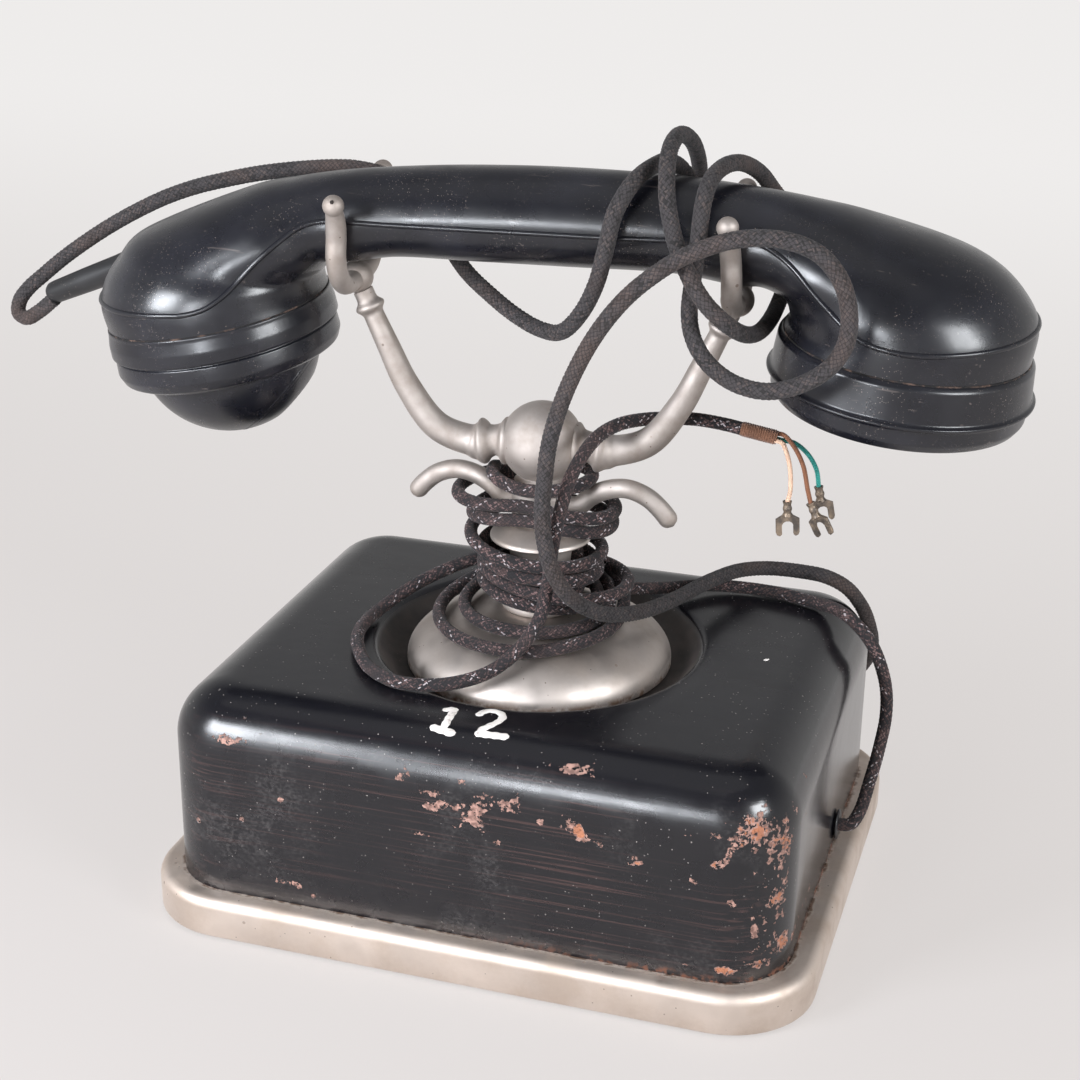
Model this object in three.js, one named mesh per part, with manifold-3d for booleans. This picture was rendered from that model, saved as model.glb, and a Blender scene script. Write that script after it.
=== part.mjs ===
// A desk telephone of the 1920s: a lacquered steel case on a nickel skirt, a turned
// pedestal with cord hooks, a sprung two-armed cradle, a handset and two textile cords.
// Millimetres, +X to the right along the long front face, +Y to the back, +Z up.
// The origin is on the table, under the middle of the case.

import * as THREE from "three";
import { mergeVertices } from "three/addons/utils/BufferGeometryUtils.js";
import Module from "manifold-3d";

const wasm = await Module();
wasm.setup();

// Driving dimensions: clearances and finishes shared by the whole object
const gap = 0.3;
const rad = Math.PI / 180;

// Skirt, base plate and the felt sheet that it stands on
const skirtWidth = 182;
const skirtDepth = 150;
const skirtCorner = 23.5;
const skirtTop = 11.8;
const skirtBottom = 0.8;
const skirtEdge = 2.8;
const skirtWall = 1.4;
const feltThickness = 1.3;
const feltMargin = 8;
const plateThickness = 1.6;

// Case
const caseWidth = 169;
const caseDepth = 138;
const caseCorner = 18.5;
const caseTop = 66.5;
const caseFillet = 15.3;
const caseWall = 1.6;
const wellMouth = 44.8;
const wellFloor = 60;
const wellFloorRadius = 38.6;

// Pedestal
const domeRadius = 36.8;
const domeHeight = 15.2;
const domeSheet = 1.2;
const domeRim = 1.4;
const stemRadius = 7;
const columnBase = 10.5;
const columnWaist = 7.9;
const columnTop = 112;
const saucerRadius = 14;
const saucerTop = 97.8;
const saucerThickness = 2.2;
const bossRadius = 8;
const nutRadius = 12;
const nutThickness = 5;
const boreRadius = 5.4;
const rodRadius = 3;
const rodBottom = 38.6;
const rodCollar = 80;
const springCurls = 5;
const springWire = 0.45;

// Cord hooks
const hookRadius = 2.6;
const hookStart = 8.9;
const hookReach = 36.9;
const hookCrest = 113.2;
const hookTip = 104.2;
const hookRoot = 106.5;

// Cradle
const cradleTurn = 6.4 * rad;
const cradleTravel = 4.5;
const ballRadius = 11.1;
const ballHeight = 123.8;
const ballFlat = 9.2;
const armRoot = 123.3;
const hubSpan = 50.4;
const hubHeight = 166;
const hubRadius = 4.4;
const forkWire = 2.65;
const forkHalf = 18.7;
const forkTop = 189.8;
const forkFlare = 4.6;
const forkTipBall = 2.6;

// Handset
const handleHeight = 26.6;
const handleArch = 2.2;
const handleHalf = 14.8;
const handsetRoll = 3.2 * rad;
const speakX = -89.5;
const speakSeam = 156.2;
const speakTilt = -10.8 * rad;
const speakRadius = 30.2;
const hearX = 93.8;
const hearSeam = 158.2;
const hearTilt = 5.4 * rad;
const hearRadius = 31.4;
const pocketRadius = 24.5;
const pocketDepth = 9;
const speakCapHeight = 16;
const speakCapRidge = 31.2;
const hoodRadius = 24.3;
const hoodWall = 2;
const hoodDrop = 11;
const mouthAngle = 42 * rad;
const mouthRadius = 8.6;
const mouthReach = 20.8;
const hearCapHeight = 19;
const hearCapRidge = 34.5;
const hearBore = 28.4;
const soundHole = 5;
const sleeveLength = 30;
const sleeveRadius = 3.5;

// Cords
const handsetCord = 4.4;
const lineCord = 3.4;
const wireDiameter = 1.3;

// Ringer and switch inside the case
const ringerHeight = 19;
const gongRadius = 25;
const gongSpan = 31;
const gongY = -34;
const gongSheet = 1.6;
const gongDepth = 13;
const clapperBall = 3;
const clapperPivotY = 8;
const coilRadius = 9.5;
const coilSpan = 13;
const coilLength = 32;
const coilCheek = 1.6;
const coilWound = coilRadius - 1.2;
const pinRadius = 1.5;
const leverPivotX = -30;
const leverHeight = 36.4;

// Speech circuit: distances to the case's inner faces, and sizes
const stripAway = 4.9;
const stripWidth = 12;
const stripFront = 15.4;
const stripLength = 64;
const stripHeight = 5.7;
const studPitch = 12;
const studRadius = 2.4;
const condenserAwayX = 14.9;
const condenserAwayY = 9.4;
const condenserWidth = 34;
const condenserDepth = 40;
const condenserHeight = 29.7;
const bobbinRadius = 9;
const bobbinHalf = 21;
const bobbinCheek = 2;
const bobbinAwayX = 21.9;
const bobbinAwayY = 16.4;

// Materials
function paint(colour, roughness, metalness) {
  return new THREE.MeshStandardMaterial({ color: colour, roughness, metalness });
}
const lacquer = paint(0x0e0f12, 0.25, 0.0);
const nickel = paint(0xb8afa6, 0.3, 0.9);
const skirtNickel = paint(0xbfb5a6, 0.4, 0.85);
const ebonite = paint(0x18191c, 0.5, 0.0);
const rubber = paint(0x121214, 0.8, 0.0);
const felt = paint(0x2b3a2e, 0.95, 0.0);
const braid = paint(0x2c2626, 0.95, 0.0);
const tweed = paint(0x332a2a, 0.95, 0.0);
const steel = paint(0x7d7f82, 0.45, 0.8);
const bellMetal = paint(0xa89a78, 0.3, 0.9);
const copper = paint(0x8a4b2c, 0.5, 0.6);
const fibre = paint(0x4a2a1c, 0.8, 0.0);
const whiteCotton = paint(0xd8b79c, 0.9, 0.0);
const brownCotton = paint(0x6e4630, 0.9, 0.0);
const greenCotton = paint(0x1d8f84, 0.9, 0.0);
const tinned = paint(0x6a5c4c, 0.5, 0.7);

// Solids: closed triangle meshes to and from boolean form
function signedVolume(position, index) {
  let sum = 0;
  const a = new THREE.Vector3();
  const b = new THREE.Vector3();
  const c = new THREE.Vector3();
  for (let i = 0; i < index.count; i += 3) {
    a.fromBufferAttribute(position, index.getX(i));
    b.fromBufferAttribute(position, index.getX(i + 1));
    c.fromBufferAttribute(position, index.getX(i + 2));
    sum += a.dot(b.cross(c));
  }
  return sum / 6;
}

function closed(geometry) {
  geometry.deleteAttribute("normal");
  geometry.deleteAttribute("uv");
  const merged = mergeVertices(geometry, 1e-4);
  const kept = [];
  const old = merged.index;
  for (let i = 0; i < old.count; i += 3) {
    const [a, b, c] = [old.getX(i), old.getX(i + 1), old.getX(i + 2)];
    if (a !== b && b !== c && c !== a) {
      kept.push(a, b, c);
    }
  }
  merged.setIndex(kept);
  if (signedVolume(merged.attributes.position, merged.index) < 0) {
    for (let i = 0; i < kept.length; i += 3) {
      [kept[i], kept[i + 1]] = [kept[i + 1], kept[i]];
    }
    merged.setIndex(kept);
  }
  return merged;
}

function solid(geometry) {
  const merged = closed(geometry);
  return new wasm.Manifold(new wasm.Mesh({
    numProp: 3,
    vertProperties: new Float32Array(merged.attributes.position.array),
    triVerts: new Uint32Array(merged.index.array),
  }));
}

function geometryOf(body) {
  const mesh = body.getMesh();
  const geometry = new THREE.BufferGeometry();
  geometry.setAttribute("position", new THREE.BufferAttribute(new Float32Array(mesh.vertProperties), 3));
  geometry.setIndex(Array.from(mesh.triVerts));
  return geometry;
}

function cut(first, ...others) {
  let body = solid(first);
  for (const other of others) {
    body = body.subtract(solid(other));
  }
  return geometryOf(body);
}

function join(first, ...others) {
  let body = solid(first);
  for (const other of others) {
    body = body.add(solid(other));
  }
  return geometryOf(body);
}

// Shapes: a box by its corners, a rod along an axis, a turned profile, lofted rings
function boxFrom(low, high) {
  const size = high.map((value, i) => value - low[i]);
  const geometry = new THREE.BoxGeometry(...size);
  return geometry.translate(...low.map((value, i) => value + size[i] / 2));
}

function turned(profile, segments) {
  const points = profile.map(([r, z]) => new THREE.Vector2(r, z));
  return new THREE.LatheGeometry(points, segments).rotateX(Math.PI / 2);
}

function disc(radius, low, high, segments = 20) {
  return turned([[0, low], [radius, low], [radius, high], [0, high]], segments);
}

function placed(geometry, x, y, z) {
  return geometry.translate(x, y, z);
}

function loft(rings) {
  const positions = [];
  const index = [];
  const sides = rings[0].length;
  for (const points of rings) {
    for (const p of points) {
      positions.push(p.x, p.y, p.z);
    }
  }
  for (let r = 0; r + 1 < rings.length; r += 1) {
    for (let s = 0; s < sides; s += 1) {
      const a = r * sides + s;
      const b = r * sides + (s + 1) % sides;
      index.push(a, b, b + sides, a, b + sides, a + sides);
    }
  }
  for (const r of [0, rings.length - 1]) {
    const centre = new THREE.Vector3();
    for (const p of rings[r]) {
      centre.addScaledVector(p, 1 / sides);
    }
    const middle = positions.length / 3;
    positions.push(centre.x, centre.y, centre.z);
    for (let s = 0; s < sides; s += 1) {
      const a = r * sides + s;
      const b = r * sides + (s + 1) % sides;
      index.push(...(r === 0 ? [middle, b, a] : [middle, a, b]));
    }
  }
  const geometry = new THREE.BufferGeometry();
  geometry.setAttribute("position", new THREE.Float32BufferAttribute(positions, 3));
  geometry.setIndex(index);
  return geometry;
}

// A rounded rectangle ring, and a body made of such rings inset by a profile
function roundedRing(width, depth, corner, z, steps = 5) {
  const points = [];
  const turns = [[1, 1, 0], [-1, 1, 90], [-1, -1, 180], [1, -1, 270]];
  for (const [sx, sy, start] of turns) {
    for (let i = 0; i <= steps; i += 1) {
      const angle = (start + 90 * i / steps) * rad;
      points.push(new THREE.Vector3(
        sx * (width / 2 - corner) + corner * Math.cos(angle),
        sy * (depth / 2 - corner) + corner * Math.sin(angle),
        z,
      ));
    }
  }
  return points;
}

function roundedBody(width, depth, corner, profile) {
  return loft(profile.map(([inset, z]) =>
    roundedRing(width - 2 * inset, depth - 2 * inset, Math.max(corner - inset, 1), z)));
}

function filletProfile(radius, top, steps) {
  const profile = [];
  for (let i = 0; i <= steps; i += 1) {
    const angle = 90 * rad * i / steps;
    profile.push([radius * (1 - Math.cos(angle)), top - radius + radius * Math.sin(angle)]);
  }
  return profile;
}

// A round bar along a curve; stations give the distance along it and the radius there
function bar(curve, stations, sides) {
  const length = curve.getLength();
  const rings = [];
  let side = null;
  for (const [distance, radius] of stations) {
    const u = Math.min(Math.max(distance / length, 0), 1);
    const centre = curve.getPointAt(u);
    const tangent = curve.getTangentAt(u);
    if (side === null) {
      side = new THREE.Vector3(0, 1, 0);
      if (Math.abs(tangent.y) > 0.9) {
        side.set(1, 0, 0);
      }
    }
    side.addScaledVector(tangent, -side.dot(tangent)).normalize();
    const up = new THREE.Vector3().crossVectors(tangent, side);
    const points = [];
    for (let s = 0; s < sides; s += 1) {
      const angle = 2 * Math.PI * s / sides;
      points.push(centre.clone()
        .addScaledVector(side, radius * Math.cos(angle))
        .addScaledVector(up, radius * Math.sin(angle)));
    }
    rings.push(points);
  }
  return loft(rings);
}

function smooth(points) {
  return new THREE.CatmullRomCurve3(points.map((p) => new THREE.Vector3(...p)), false, "centripetal");
}

// A cord: a round section extruded along the smooth curve through its route
function cordAlong(route, diameter, steps) {
  const section = new THREE.Shape();
  const sides = 8;
  for (let s = 0; s < sides; s += 1) {
    const angle = 2 * Math.PI * s / sides;
    const [x, y] = [Math.cos(angle) * diameter / 2, Math.sin(angle) * diameter / 2];
    if (s === 0) {
      section.moveTo(x, y);
    } else {
      section.lineTo(x, y);
    }
  }
  return new THREE.ExtrudeGeometry(section, { steps, bevelEnabled: false, extrudePath: smooth(route) });
}

// A length past every piece, for cutters
const far = 60;

// The object and its groups
const telephone = new THREE.Group();
const cradle = new THREE.Group();
cradle.rotation.z = cradleTurn;
const handset = new THREE.Group();
handset.position.z = hubHeight;
handset.rotation.x = handsetRoll;
cradle.add(handset);
telephone.add(cradle);

function part(group, name, geometry, material) {
  const mesh = new THREE.Mesh(closed(geometry), material);
  mesh.name = name;
  group.add(mesh);
  return mesh;
}

// Cord routes are given in the object's frame, so these bring a piece into a group's frame
function into(group, geometry) {
  telephone.updateMatrixWorld(true);
  return geometry.applyMatrix4(group.matrixWorld.clone().invert());
}
const inCradle = (geometry) => into(cradle, geometry);
const inHandset = (geometry) => into(handset, geometry);

// Base: skirt with a narrow ledge for the case, plate and felt
const ledgeInside = caseWall + 5;
const skirtOpening = roundedBody(
  caseWidth - 2 * ledgeInside, caseDepth - 2 * ledgeInside, caseCorner - ledgeInside,
  [[0, skirtTop - 5], [0, skirtTop + 5]],
);
const skirtInside = roundedBody(
  skirtWidth - 2 * skirtWall, skirtDepth - 2 * skirtWall, skirtCorner - skirtWall,
  [[0, skirtBottom - 5], [0, skirtTop - skirtEdge], [skirtEdge - skirtWall, skirtTop - skirtWall]],
);
part(telephone, "base_skirt", cut(
  roundedBody(skirtWidth, skirtDepth, skirtCorner, [
    [0, skirtBottom], ...filletProfile(skirtEdge, skirtTop, 3),
  ]),
  skirtInside,
  skirtOpening,
), skirtNickel);

const plateInset = skirtWall + gap;
const plateBottom = feltThickness + gap;
const plateTop = plateBottom + plateThickness;
part(telephone, "base_plate", roundedBody(
  skirtWidth - 2 * plateInset, skirtDepth - 2 * plateInset, skirtCorner - plateInset,
  [[0, plateBottom], [0, plateTop]],
), steel);
part(telephone, "base_felt", roundedBody(
  skirtWidth - 2 * feltMargin, skirtDepth - 2 * feltMargin, skirtCorner - feltMargin,
  [[0, 0], [0, feltThickness]],
), felt);

// Case: a steel shell, open below, with a round well for the pedestal
const wellShape = [
  [0, wellFloor], [wellFloorRadius, wellFloor], [wellFloorRadius + 2.4, wellFloor + 0.9],
  [wellMouth - 1.3, caseTop - 2.4], [wellMouth, caseTop + 0.1], [wellMouth, caseTop + 5], [0, caseTop + 5],
];
const wellShell = wellShape.map(([r, z], i) => {
  const onAxis = i === 0 || i === wellShape.length - 1;
  return [onAxis ? 0 : r + caseWall, i < 4 ? z - caseWall : z];
});
const caseBottom = skirtTop + gap;
const caseOuter = [[0, caseBottom], ...filletProfile(caseFillet, caseTop, 5)];
const caseInner = [[0, caseBottom - 5], ...filletProfile(caseFillet - caseWall, caseTop - caseWall, 3)];
const caseHollow = cut(
  roundedBody(caseWidth - 2 * caseWall, caseDepth - 2 * caseWall, caseCorner - caseWall, caseInner),
  turned(wellShell, 24),
);
const lineExit = [caseWidth / 2, 10, 17];
const handsetExit = [caseWidth / 2 - caseCorner - 6, caseDepth / 2, 19];
const grommetHole = 3.6;
const lineHole = disc(grommetHole, -6, 6, 14).rotateY(Math.PI / 2).translate(...lineExit);
const handsetHole = disc(grommetHole, -6, 6, 14).rotateX(Math.PI / 2).translate(...handsetExit);
part(telephone, "case_shell", cut(
  roundedBody(caseWidth, caseDepth, caseCorner, caseOuter),
  turned(wellShape, 32),
  caseHollow,
  disc(stemRadius + gap, wellFloor - 5, wellFloor + 5, 24),
  lineHole,
  handsetHole,
), lacquer);

// Rubber bushes where the two cords enter the case
function bush(cordDiameter) {
  const hole = cordDiameter / 2 + gap;
  const seat = grommetHole - gap;
  return turned([
    [hole, -2.2], [seat + 1.2, -2.2], [seat + 1.2, -caseWall - gap], [seat, -caseWall - gap],
    [seat, gap], [seat + 0.9, gap], [seat + 0.6, 1.1], [hole, 1.1], [hole, -2.2],
  ], 10);
}
part(telephone, "line_cord_bush", bush(lineCord).rotateY(Math.PI / 2).translate(...lineExit), rubber);
const rearBush = bush(handsetCord).rotateX(-Math.PI / 2).translate(...handsetExit);
part(telephone, "handset_cord_bush", rearBush, rubber);

// Pedestal: dome, column, saucer moulding and the nut that clamps them to the case
const domeBottom = wellFloor + gap;
function domeHeightAt(radius, offset) {
  const share = Math.max(1 - (radius / (domeRadius - offset)) ** 2, 0);
  return domeBottom + domeRim + (domeHeight - offset) * Math.sqrt(share);
}
function domeProfile(steps) {
  const outer = [];
  const inner = [];
  const hole = stemRadius + gap;
  for (let i = 0; i <= steps; i += 1) {
    const outerR = hole + (domeRadius - hole) * Math.cos(90 * rad * i / steps);
    outer.push([outerR, domeHeightAt(outerR, 0)]);
  }
  for (let i = 0; i <= steps / 2; i += 1) {
    const innerR = hole + (domeRadius - domeSheet - hole) * Math.cos(180 * rad * i / steps);
    inner.push([innerR, domeHeightAt(innerR, domeSheet)]);
  }
  return [
    [domeRadius - domeSheet, domeBottom], [domeRadius, domeBottom], ...outer,
    ...inner.reverse(), [domeRadius - domeSheet, domeBottom],
  ];
}
part(telephone, "pedestal_dome", turned(domeProfile(6), 28), nickel);

const columnSeat = domeHeightAt(columnBase, 0) + gap;
const saucerBottom = saucerTop - saucerThickness;
const shoulder = saucerBottom - gap;
const nutTop = wellFloor - caseWall - gap;
const stemBottom = nutTop - nutThickness - 2;
const springSeat = stemBottom + 3;
const rodHole = rodRadius + gap;
part(telephone, "pedestal_column", turned([
  [rodHole, stemBottom], [stemRadius, stemBottom], [stemRadius, columnSeat + 0.6],
  [columnBase, columnSeat + 0.6], [columnBase, columnSeat + 1.6], [columnWaist + 0.6, columnSeat + 4.4],
  [columnWaist, columnSeat + 10], [columnWaist + 1, shoulder - 1.2], [columnWaist + 1, shoulder],
  [columnWaist - 1, shoulder], [columnWaist - 1, saucerTop + 1.5],
  [bossRadius, hookRoot - 3.6], [bossRadius, hookRoot + 3.4], [bossRadius - 1.4, columnTop - 1],
  [bossRadius - 1.7, columnTop], [rodHole, columnTop], [rodHole, columnTop - 8],
  [boreRadius, columnTop - 9], [boreRadius, springSeat], [rodHole, springSeat], [rodHole, stemBottom],
], 16), nickel);
part(telephone, "saucer_moulding", turned([
  [columnWaist - 1 + gap, saucerBottom], [columnWaist + 2.5, saucerBottom],
  [saucerRadius - 1.2, saucerBottom + 0.7], [saucerRadius, saucerTop - 0.9],
  [saucerRadius - 0.3, saucerTop], [columnWaist + 1, saucerTop - 0.6],
  [columnWaist - 1 + gap, saucerTop - 0.6], [columnWaist - 1 + gap, saucerBottom],
], 20), nickel);
part(telephone, "clamp_nut", cut(
  disc(nutRadius, nutTop - nutThickness, nutTop, 6),
  disc(stemRadius + gap, nutTop - far, nutTop + far, 20),
), steel);

// Cord hooks: two bars that leave the column's boss, rise and turn down like horns
function hookBar(side) {
  const curve = smooth([
    [side * hookStart, 0, hookRoot], [side * (hookStart + 2), 0, hookRoot + 0.5],
    [side * (hookStart + 4.8), 0, hookRoot + 3.1], [side * (hookReach * 0.5), 0, hookCrest - 0.9],
    [side * (hookReach * 0.65), 0, hookCrest], [side * (hookReach * 0.8), 0, hookCrest - 1.7],
    [side * (hookReach - 3.4), 0, hookTip + 4.1], [side * hookReach, 0, hookTip],
  ]);
  const length = curve.getLength();
  const stations = [];
  const steps = 10;
  for (let i = 0; i <= steps; i += 1) {
    stations.push([(length - hookRadius) * i / steps, hookRadius]);
  }
  stations.push([length - hookRadius * 0.35, hookRadius * 0.8], [length, hookRadius * 0.35]);
  return bar(curve, stations, 8);
}
part(telephone, "cord_hook_left", hookBar(-1), nickel);
part(telephone, "cord_hook_right", hookBar(1), nickel);

// Plunger and its spring: the rod carries the cradle and slides in the column
const rodTop = ballHeight - 5.4;
part(cradle, "plunger_rod", turned([
  [0, rodBottom], [rodRadius, rodBottom], [rodRadius, rodCollar], [boreRadius - gap, rodCollar],
  [boreRadius - gap, rodCollar + 2], [rodRadius, rodCollar + 2], [rodRadius, rodTop], [0, rodTop],
], 14), steel);

function springCoil() {
  const [low, high] = [springSeat + gap, rodCollar - gap];
  const radius = (rodRadius + boreRadius) / 2;
  const stepsPerCurl = 8;
  const sides = 5;
  const rings = [];
  const rise = (high - low - 2 * springWire) / springCurls;
  for (let i = 0; i <= springCurls * stepsPerCurl; i += 1) {
    const angle = 2 * Math.PI * i / stepsPerCurl;
    const z = low + springWire + rise * i / stepsPerCurl;
    const out = new THREE.Vector3(Math.cos(angle), Math.sin(angle), 0);
    const points = [];
    for (let s = 0; s < sides; s += 1) {
      const turn = 2 * Math.PI * s / sides;
      points.push(out.clone().multiplyScalar(radius + springWire * Math.cos(turn))
        .add(new THREE.Vector3(0, 0, z + springWire * Math.sin(turn))));
    }
    rings.push(points);
  }
  return loft(rings);
}
part(telephone, "plunger_spring", springCoil(), steel);

// Cradle ball, flat where the arms are screwed on, bored for the rod
const ballCollar = columnTop + gap;
const ballProfile = [[0, ballCollar], [7.4, ballCollar], [7.4, ballCollar + 1.2], [5.6, ballCollar + 2]];
for (let i = 0; i <= 9; i += 1) {
  const angle = (-58 + 148 * i / 9) * rad;
  ballProfile.push([Math.max(ballRadius * Math.cos(angle), 0), ballHeight + ballRadius * Math.sin(angle)]);
}
part(cradle, "cradle_ball", cut(
  turned(ballProfile, 20),
  disc(rodRadius + gap, columnTop - 2, rodTop + gap, 14),
  boxFrom([ballFlat, -far, columnTop - far], [far, far, ballHeight + far]),
  boxFrom([-far, -far, columnTop - far], [-ballFlat, far, ballHeight + far]),
), nickel);

// Arms: turned flange, neck and bead at the ball, a curved taper, and a bead at the fork
function arm(side) {
  const start = ballFlat + gap;
  const curve = smooth([
    [side * start, 0, armRoot], [side * (start + 3), 0, armRoot], [side * 14.5, 0, armRoot - 0.3],
    [side * 19, 0, armRoot - 0.6],
    [side * 28.7, 0, ballHeight + 2.2], [side * (hubSpan - 13.6), 0, hubHeight - 29.5],
    [side * (hubSpan - 8.1), 0, hubHeight - 18], [side * (hubSpan - 3.8), 0, hubHeight - 8.6],
    [side * (hubSpan - 1.9), 0, hubHeight - (hubRadius + gap)],
  ]);
  const length = curve.getLength();
  const stations = [
    [0, 6.4], [1.4, 6.6], [1.9, 4.6], [3.8, 4.1], [5.2, 4.6], [6.2, 6.2], [7.6, 6.3], [8.6, 4.9],
    [9.2, 5.1], [10.2, 4.2],
  ];
  const taperStart = 12;
  const taperEnd = length - 6.2;
  const steps = 7;
  for (let i = 0; i <= steps; i += 1) {
    stations.push([taperStart + (taperEnd - taperStart) * i / steps, 4.1 - 1.4 * i / steps]);
  }
  stations.push([length - 5, 3.9], [length - 3.9, 4], [length - 3.1, 2.9]);
  stations.push([length - 1.2, 2.7], [length, 2.6]);
  return bar(curve, stations, 9);
}
part(cradle, "arm_left", arm(-1), nickel);
part(cradle, "arm_right", arm(1), nickel);

// Forks: a hub ball and a U of thick wire whose two prongs end in small balls
function fork(side) {
  const lean = 1.1;
  const half = [
    [forkHalf + forkFlare, forkTop, lean], [forkHalf + 2, forkTop - 4.4, lean * 0.7],
    [forkHalf + 0.3, forkTop - 9.4, lean * 0.3], [forkHalf, forkTop - 14, 0],
    [forkHalf - 1.9, hubHeight + 4.6, 0], [forkHalf - 6, hubHeight + 1.2, 0], [forkHalf - 11.5, hubHeight, 0],
  ];
  const place = ([y, z, inward], way) => [side * (hubSpan - inward), way * y, z];
  const curve = smooth([
    ...half.map((p) => place(p, -1)),
    [side * hubSpan, 0, hubHeight],
    ...half.slice().reverse().map((p) => place(p, 1)),
  ]);
  const length = curve.getLength();
  const steps = 18;
  const stations = [[0, forkWire * 0.7]];
  for (let i = 1; i < steps; i += 1) {
    stations.push([length * i / steps, i === 1 || i === steps - 1 ? forkWire * 0.9 : forkWire]);
  }
  stations.push([length, forkWire * 0.7]);
  const ballAt = ([x, y, z], radius, segments) =>
    new THREE.SphereGeometry(radius, segments, segments / 2).translate(x, y, z);
  return join(
    bar(curve, stations, 8),
    ballAt([side * hubSpan, 0, hubHeight], hubRadius, 8),
    ballAt(place(half[0], -1), forkTipBall, 8),
    ballAt(place(half[0], 1), forkTipBall, 8),
  );
}
part(cradle, "fork_left", fork(-1), nickel);
part(cradle, "fork_right", fork(1), nickel);

// Handset: stations from the speaking end to the hearing end, each an outer point, an
// inner point and a half width; heights are above the fork hubs
const restClear = hubRadius + gap;
const handleTop = restClear + handleHeight;
function headPoint(x, seam, tilt, radial, along) {
  return [
    x + radial * Math.cos(tilt) + along * Math.sin(tilt),
    seam - hubHeight - radial * Math.sin(tilt) + along * Math.cos(tilt),
  ];
}
const speakOuter = (radial, along) => headPoint(speakX, speakSeam, speakTilt, -radial, along);
const speakInner = (radial, along) => headPoint(speakX, speakSeam, speakTilt, radial, along);
const hearOuter = (radial, along) => headPoint(hearX, hearSeam, hearTilt, radial, along);
const hearInner = (radial, along) => headPoint(hearX, hearSeam, hearTilt, -radial, along);
const stationsAlong = [
  [speakOuter(speakRadius, 0), speakInner(speakRadius, 0), speakRadius],
  [speakOuter(speakRadius + 0.3, 7), speakInner(speakRadius - 0.2, 2), speakRadius],
  [speakOuter(speakRadius - 2.4, 13.6), speakInner(speakRadius - 0.6, 3.6), speakRadius - 0.6],
  [speakOuter(speakRadius - 7.6, 19.6), speakInner(speakRadius, 5), speakRadius - 2],
  [speakOuter(speakRadius - 15, 25.5), speakInner(speakRadius + 1, 6.2), speakRadius - 4.6],
  [[-80, handleTop - 9.6], speakInner(speakRadius + 2.6, 7.2), speakRadius - 8.6],
  [[-67, handleTop - 5.9], [-55.5, restClear + 0.2], handleHalf + 2.6],
  [[-54, handleTop - 3.4], [-50.4, restClear], handleHalf + 0.3],
  [[-38, handleTop - 1.6], [-38, restClear + handleArch], handleHalf],
  [[-18, handleTop - 0.2], [-18, restClear + handleArch], handleHalf],
  [[6, handleTop + 0.4], [6, restClear + handleArch], handleHalf],
  [[34, handleTop - 0.1], [34, restClear + handleArch], handleHalf],
  [[54, handleTop - 1.6], [50.4, restClear], handleHalf + 0.3],
  [[68, handleTop - 3.6], [56.5, restClear + 0.3], handleHalf + 2.6],
  [[83, handleTop - 6.8], hearInner(hearRadius + 0.4, 7.6), hearRadius - 8.6],
  [hearOuter(hearRadius - 22, 26.6), hearInner(hearRadius - 0.6, 6), hearRadius - 4.6],
  [hearOuter(hearRadius - 10.4, 21.7), hearInner(hearRadius - 1.4, 4.6), hearRadius - 2],
  [hearOuter(hearRadius - 3, 15), hearInner(hearRadius - 1, 3.2), hearRadius - 0.6],
  [hearOuter(hearRadius + 0.1, 9), hearInner(hearRadius - 0.4, 1.8), hearRadius],
  [hearOuter(hearRadius, 0), hearInner(hearRadius, 0), hearRadius],
];

// Each ring is an oval through its outer and inner point, a little squared on the handle
function handsetRings(sides) {
  return stationsAlong.map(([outer, inner, half], i) => {
    const onHead = i < 6 || i > 13;
    const power = onHead ? 1 : 0.96;
    const centre = [(outer[0] + inner[0]) / 2, (outer[1] + inner[1]) / 2];
    const toOuter = [(outer[0] - inner[0]) / 2, (outer[1] - inner[1]) / 2];
    const points = [];
    for (let s = 0; s < sides; s += 1) {
      const angle = 2 * Math.PI * s / sides;
      const [c, w] = [Math.cos(angle), Math.sin(angle)];
      const along = Math.sign(c) * Math.abs(c) ** power;
      const across = Math.sign(w) * Math.abs(w) ** power;
      points.push(new THREE.Vector3(
        centre[0] + toOuter[0] * along,
        half * across,
        centre[1] + toOuter[1] * along,
      ));
    }
    return points;
  });
}

// A turned piece on a head: its axis leans with the head, heights count up from the seam
function onHead(geometry, x, seam, tilt) {
  return geometry.rotateY(tilt).translate(x, 0, seam - hubHeight);
}
const onSpeak = (geometry) => onHead(geometry, speakX, speakSeam, speakTilt);
const onHear = (geometry) => onHead(geometry, hearX, hearSeam, hearTilt);

const bossStart = new THREE.Vector3(speakX - 22.5, 17, speakSeam + 7.8 - hubHeight);
const sleeveAxis = new THREE.Vector3(-0.897, 0.178, -0.405).normalize();
function alongSleeve(distance) {
  return bossStart.clone().addScaledVector(sleeveAxis, distance);
}
function sleeveBar(stations, sides) {
  const last = stations[stations.length - 1][0];
  const first = stations[0][0];
  const line = new THREE.LineCurve3(alongSleeve(first), alongSleeve(last));
  return bar(line, stations.map(([distance, radius]) => [distance - first, radius]), sides);
}
const bossEnd = 9;
part(handset, "handset_body", cut(
  join(loft(handsetRings(24)), sleeveBar([[0, 5.2], [bossEnd - 1, 5.2], [bossEnd, 4.4]], 12)),
  onSpeak(disc(pocketRadius, -5, pocketDepth, 24)),
  onHear(disc(pocketRadius, -5, pocketDepth, 24)),
), ebonite);

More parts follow.
